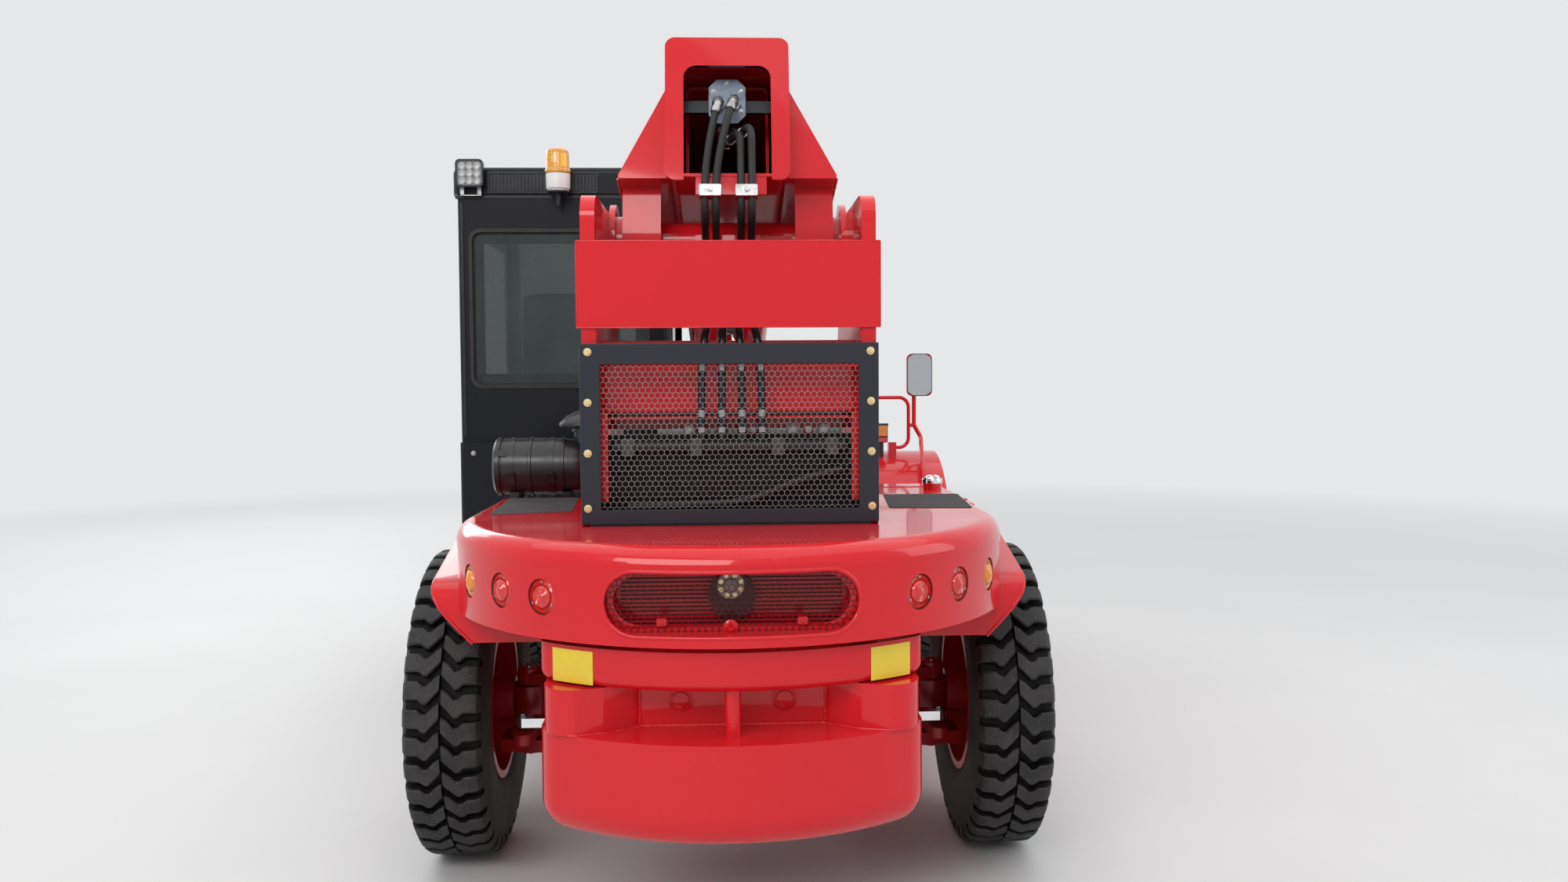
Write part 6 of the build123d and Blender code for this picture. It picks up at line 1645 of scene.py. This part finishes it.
shape = startShape()
for sign in (-1, 1):
    for x, station, ends, seed in ((0.594, 4.603, (0.285, 0.398), 0), (0.594, 4.603, (0.862, 0.938), 3),
            (0.178, 4.557, (0.402, 0.936), 6)):
        weldSeam(shape, [spot(sign * x, station, height) for height in ends], 0.004, sign + seed)
finishShape("carriageSeams", shape, "forkBlack", "carriage", 60)


# tank, box and body fittings
tank = {"outer": 0.980, "top": 1.090, "low": 0.560, "rear": 0.640, "front": 1.700, "straps": (0.860, 1.480),
    "strapWide": 0.045}
shape = startShape()
for station in tank["straps"]:
    half = tank["strapWide"] / 2
    boxAt(shape, (0.430, station - half, tank["top"] - 0.001),
        (tank["outer"] + 0.003, station + half, tank["top"] + 0.003))
    boxAt(shape, (tank["outer"] - 0.001, station - half, tank["low"] + 0.006),
        (tank["outer"] + 0.003, station + half, tank["top"] + 0.003))
    for height in (0.640, 0.700):
        bolt(shape, spot(tank["outer"] + 0.003, station, height), acrossX, 0.009, 1)
    boxAt(shape, (tank["outer"] + 0.002, station - 0.014, 0.620),
        (tank["outer"] + 0.010, station + 0.014, 0.628), 1)
gauge = (1.600, 0.640, 1.030)
tube(shape, [spot(tank["outer"] + 0.012, gauge[0], gauge[1]),
    spot(tank["outer"] + 0.012, gauge[0], gauge[2])], 0.0075, 14, 2)
for height in (gauge[1], gauge[2]):
    prism(shape, roundedBox(0.030, 0.034, 0.006, 3),
        planeAt(spot(tank["outer"] - 0.001, gauge[0], height), alongY, upZ), 0.022, 1)
for station, height in ((0.700, 0.600), (1.640, 0.600)):
    puck(shape, [(0.0, 0.018), (0.006, 0.018), (0.008, 0.012), (0.014, 0.012)],
        spot(tank["outer"], station, height), acrossX, 20, 1)
finishShape("tankFittings", shape, ["redPaint", "bareSteel", "clearLens"], edge=0.001)

steps = {"middle": 1.7475, "wide": 0.500, "treads": ((0.646, 0.190), (0.836, 0.110))}
shape = startShape()
for height, depth in steps["treads"]:
    for row in range(int(depth / 0.022)):
        x = -1.146 + row * 0.022
        for column in range(12):
            station = steps["middle"] - steps["wide"] / 2 + 0.020 + column * 0.040
            lathe(shape, [(0.0, 0.008), (0.004, 0.0065), (0.004, 0.004), (0.001, 0.0035)],
                spot(x, station + (0.020 if row % 2 else 0), height), upZ, 10)
    boxAt(shape, (-1.1500, steps["middle"] - steps["wide"] / 2, height - 0.006),
        (-1.144, steps["middle"] + steps["wide"] / 2, height + 0.003))
plane = leftPlane(1.330, 0.900, -1.150)
sideBand(shape, plane, 0.300, 0.150, 0.015, 0.006, 0.002, 1)
for u in (-0.11, 0.11):
    prism(shape, roundedBox(0.022, 0.050, 0.004, 2, (u, -0.075)), plane, 0.008)
for station in (1.180, 1.460, 2.120):
    bolt(shape, spot(-1.150, station, 0.970), -acrossX, 0.009)
finishShape("stepTreads", shape, ["bareSteel", "satinBlack"])

shape = startShape()  # pressed ribs, hatch and bolts on the cab's roof
for x in (-1.00, -0.86, -0.56, -0.42):
    low, high = 1.300, 2.330
    prism(shape, roundedBox(0.050, high - low, 0.024, 5),
        planeAt(spot(x, (low + high) / 2, 2.4995), acrossX, alongY), 0.006)
plane = planeAt(spot(-0.710, 1.820, 2.4995), acrossX, alongY)
prism(shape, roundedBox(0.190, 0.700, 0.030), plane, 0.004)
prism(shape, roundedBox(0.170, 0.680, 0.024), plane, 0.007)
for x, station in ((-1.11, 1.19), (-0.31, 1.19), (-1.11, 2.44), (-0.31, 2.44)):
    bolt(shape, spot(x, station, 2.4995), upZ, 0.010, 1)
finishShape("roofPanel", shape, ["cabBlack", "bareSteel"], edge=0.002)

shape = startShape()  # covers, grease points and stops on the boom's top and sides
for t in (0.620, 1.850):
    plane = planeAt(onBoom(0, t, 0.5695), acrossX, boomAlong)
    prism(shape, roundedBox(0.200, 0.260, 0.020), plane, 0.004)
    for u in (-0.085, 0.085):
        for v in (-0.115, 0.115):
            bolt(shape, plane @ Vector((u, v, 0.004)), boomUp, 0.007, 1)
for sign in (-1, 1):
    for t in (0.32, 1.25, 2.45, 3.55):
        puck(shape, [(0.0, 0.030), (0.003, 0.030), (0.004, 0.026)], onBoom(sign * 0.1845, t, 0.250),
            (sign, 0, 0), 28)
        bolt(shape, onBoom(sign * 0.188, t, 0.250), (sign, 0, 0), 0.010, 1)
    weldSeam(shape, [onBoom(sign * 0.188, 3.888, m) for m in (0.125, 0.565)], 0.004, sign)
finishShape("boomCovers", shape, ["redPaint", "bareSteel"], "boom")

shape = startShape()  # seams along the towers and the name board's folded edge
for sign in (-1, 1):
    weldSeam(shape, [spot(sign * 0.4285, station, height) for station,
        height in ((-0.648, 1.176), (-0.30, 1.176), (0.24, 1.176))], 0.005, sign)
    weldSeam(shape, [spot(sign * 0.383, -0.644, height) for height in (1.722, 1.748)], 0.004, sign)
    tube(shape, [spot(sign * 0.4385, -0.6575, height) for height in (1.7475, 1.9925)], 0.0022, 6)
tube(shape, [spot(x, -0.6575, 1.9945) for x in (-0.438, 0.438)], 0.0022, 6)
tube(shape, [spot(x, -0.6575, 1.7465) for x in (-0.438, 0.438)], 0.0022, 6)
finishShape("towerSeams", shape, "redPaint", "chassis", 60)
print("wheels, cylinders and body dressed")


# stage, light and camera
studio = {"skyLow": 0.36, "skyHigh": 0.62, "backdrop": (0.79, 0.80, 0.81, 1),
    "floorTone": (0.70, 0.70, 0.70, 1),
          "fadeStart": 4.5, "fadeEnd": 13.0}


def directRays(tree):
    # rays that show the backdrop itself: straight from the eye, mirrored, or through glass
    path = tree.nodes.new("ShaderNodeLightPath").outputs
    return reckon(tree, "MAXIMUM", path["Is Camera Ray"],
        reckon(tree, "MAXIMUM", path["Is Glossy Ray"], path["Is Transmission Ray"]))


def buildStage():
    material = bpy.data.materials.new("paleFloor")
    material.use_nodes = True
    tree = material.node_tree
    surface = tree.nodes["Principled BSDF"]
    surface.inputs["Roughness"].default_value = 0.55
    where = objectPlace(tree)
    shade = tuple(c * 0.96 for c in studio["floorTone"][:3]) + (1,)
    tone = blendColor(tree, remap(tree, noiseOf(tree, where, 0.7, 5.0), 0.35, 0.65), studio["floorTone"],
        shade)
    tree.links.new(tone, surface.inputs["Base Color"])
    reach = addNode(tree, "ShaderNodeVectorMath", {"operation": "LENGTH"}, i0=where).outputs["Value"]
    away = remap(tree, reach, studio["fadeStart"], studio["fadeEnd"])
    paper = addNode(tree, "ShaderNodeEmission", Color=studio["backdrop"])
    share = times(tree, away, directRays(tree))
    blended = addNode(tree, "ShaderNodeMixShader", i0=share, i1=surface.outputs[0], i2=paper.outputs[0])
    tree.links.new(blended.outputs[0], tree.nodes["Material Output"].inputs["Surface"])
    shape = startShape()
    rim = [shape.verts.new((cos(tau * step / 64) * 45, sin(tau * step / 64) * 45, 0)) for step in range(64)]
    shape.faces.new(rim)
    mesh = bpy.data.meshes.new("floor")
    shape.to_mesh(mesh)
    shape.free()
    mesh.materials.append(material)
    floor = bpy.data.objects.new("floor", mesh)
    scene.collection.objects.link(floor)


def buildWorld():
    world = bpy.data.worlds.new("studio")
    scene.world = world
    world.use_nodes = True
    tree = world.node_tree
    tree.nodes.clear()
    direction = addNode(tree, "ShaderNodeSeparateXYZ",
        Vector=tree.nodes.new("ShaderNodeTexCoord").outputs["Generated"])
    level = remap(tree, direction.outputs["Z"], -0.05, 0.75, studio["skyLow"], studio["skyHigh"])
    glow = addNode(tree, "ShaderNodeBackground", Color=(0.96, 0.98, 1.0, 1), Strength=level)
    back = addNode(tree, "ShaderNodeBackground", Color=studio["backdrop"], Strength=1.0)
    mixed = addNode(tree, "ShaderNodeMixShader", i0=directRays(tree), i1=glow.outputs[0], i2=back.outputs[0])
    out = tree.nodes.new("ShaderNodeOutputWorld")
    tree.links.new(mixed.outputs[0], out.inputs["Surface"])


def areaLight(name, place, target, size, power, tint=(1, 1, 1)):
    lamp = bpy.data.lights.new(name, "AREA")
    lamp.shape, lamp.size, lamp.size_y, lamp.energy, lamp.color = "RECTANGLE", size[0], size[1], power, tint
    light = bpy.data.objects.new(name, lamp)
    scene.collection.objects.link(light)
    light.location = place
    light.rotation_mode = "QUATERNION"
    light.rotation_quaternion = (Vector(target) - Vector(place)).to_track_quat("-Z", "Y")


buildStage()
buildWorld()
areaLight("topPanel", (0.3, -0.8, 9.0), (0, -0.5, 0), (14.0, 16.0), 560)
areaLight("rearKey", (-3.2, -9.5, 6.0), (0, -2.5, 1.2), (7.0, 2.4), 330, (1.0, 0.99, 0.97))
areaLight("rightFill", (8.0, -3.0, 4.0), (0, 0, 1.2), (4.0, 5.0), 120, (0.97, 0.98, 1.0))
areaLight("frontFill", (-6.0, 8.0, 4.5), (0, 0, 1.2), (5.0, 4.0), 190)

lens = {"place": (-0.010, -6.56, 1.60), "focal": 28.8, "yaw": 2.61, "pitch": 2.90, "roll": 0.35}
camera = bpy.data.objects.new("camera", bpy.data.cameras.new("camera"))
scene.collection.objects.link(camera)
camera.data.lens, camera.data.sensor_width = lens["focal"], 36.0
camera.data.clip_start, camera.data.clip_end = 0.05, 200.0
yaw, pitch, roll = (radians(lens[part]) for part in ("yaw", "pitch", "roll"))
ahead = Vector((sin(yaw) * cos(pitch), cos(yaw) * cos(pitch), -sin(pitch)))
right = Vector((cos(yaw), -sin(yaw), 0))
above = right.cross(ahead)
rightRolled = right * cos(roll) - above * sin(roll)
aboveRolled = above * cos(roll) + right * sin(roll)
camera.matrix_world = Matrix(((rightRolled.x, aboveRolled.x, -ahead.x, lens["place"][0]),
    (rightRolled.y, aboveRolled.y, -ahead.y, lens["place"][1]),
    (rightRolled.z, aboveRolled.z, -ahead.z, lens["place"][2]), (0, 0, 0, 1)))
scene.camera = camera
scene.view_settings.view_transform = "Standard"
print("stage and camera set")
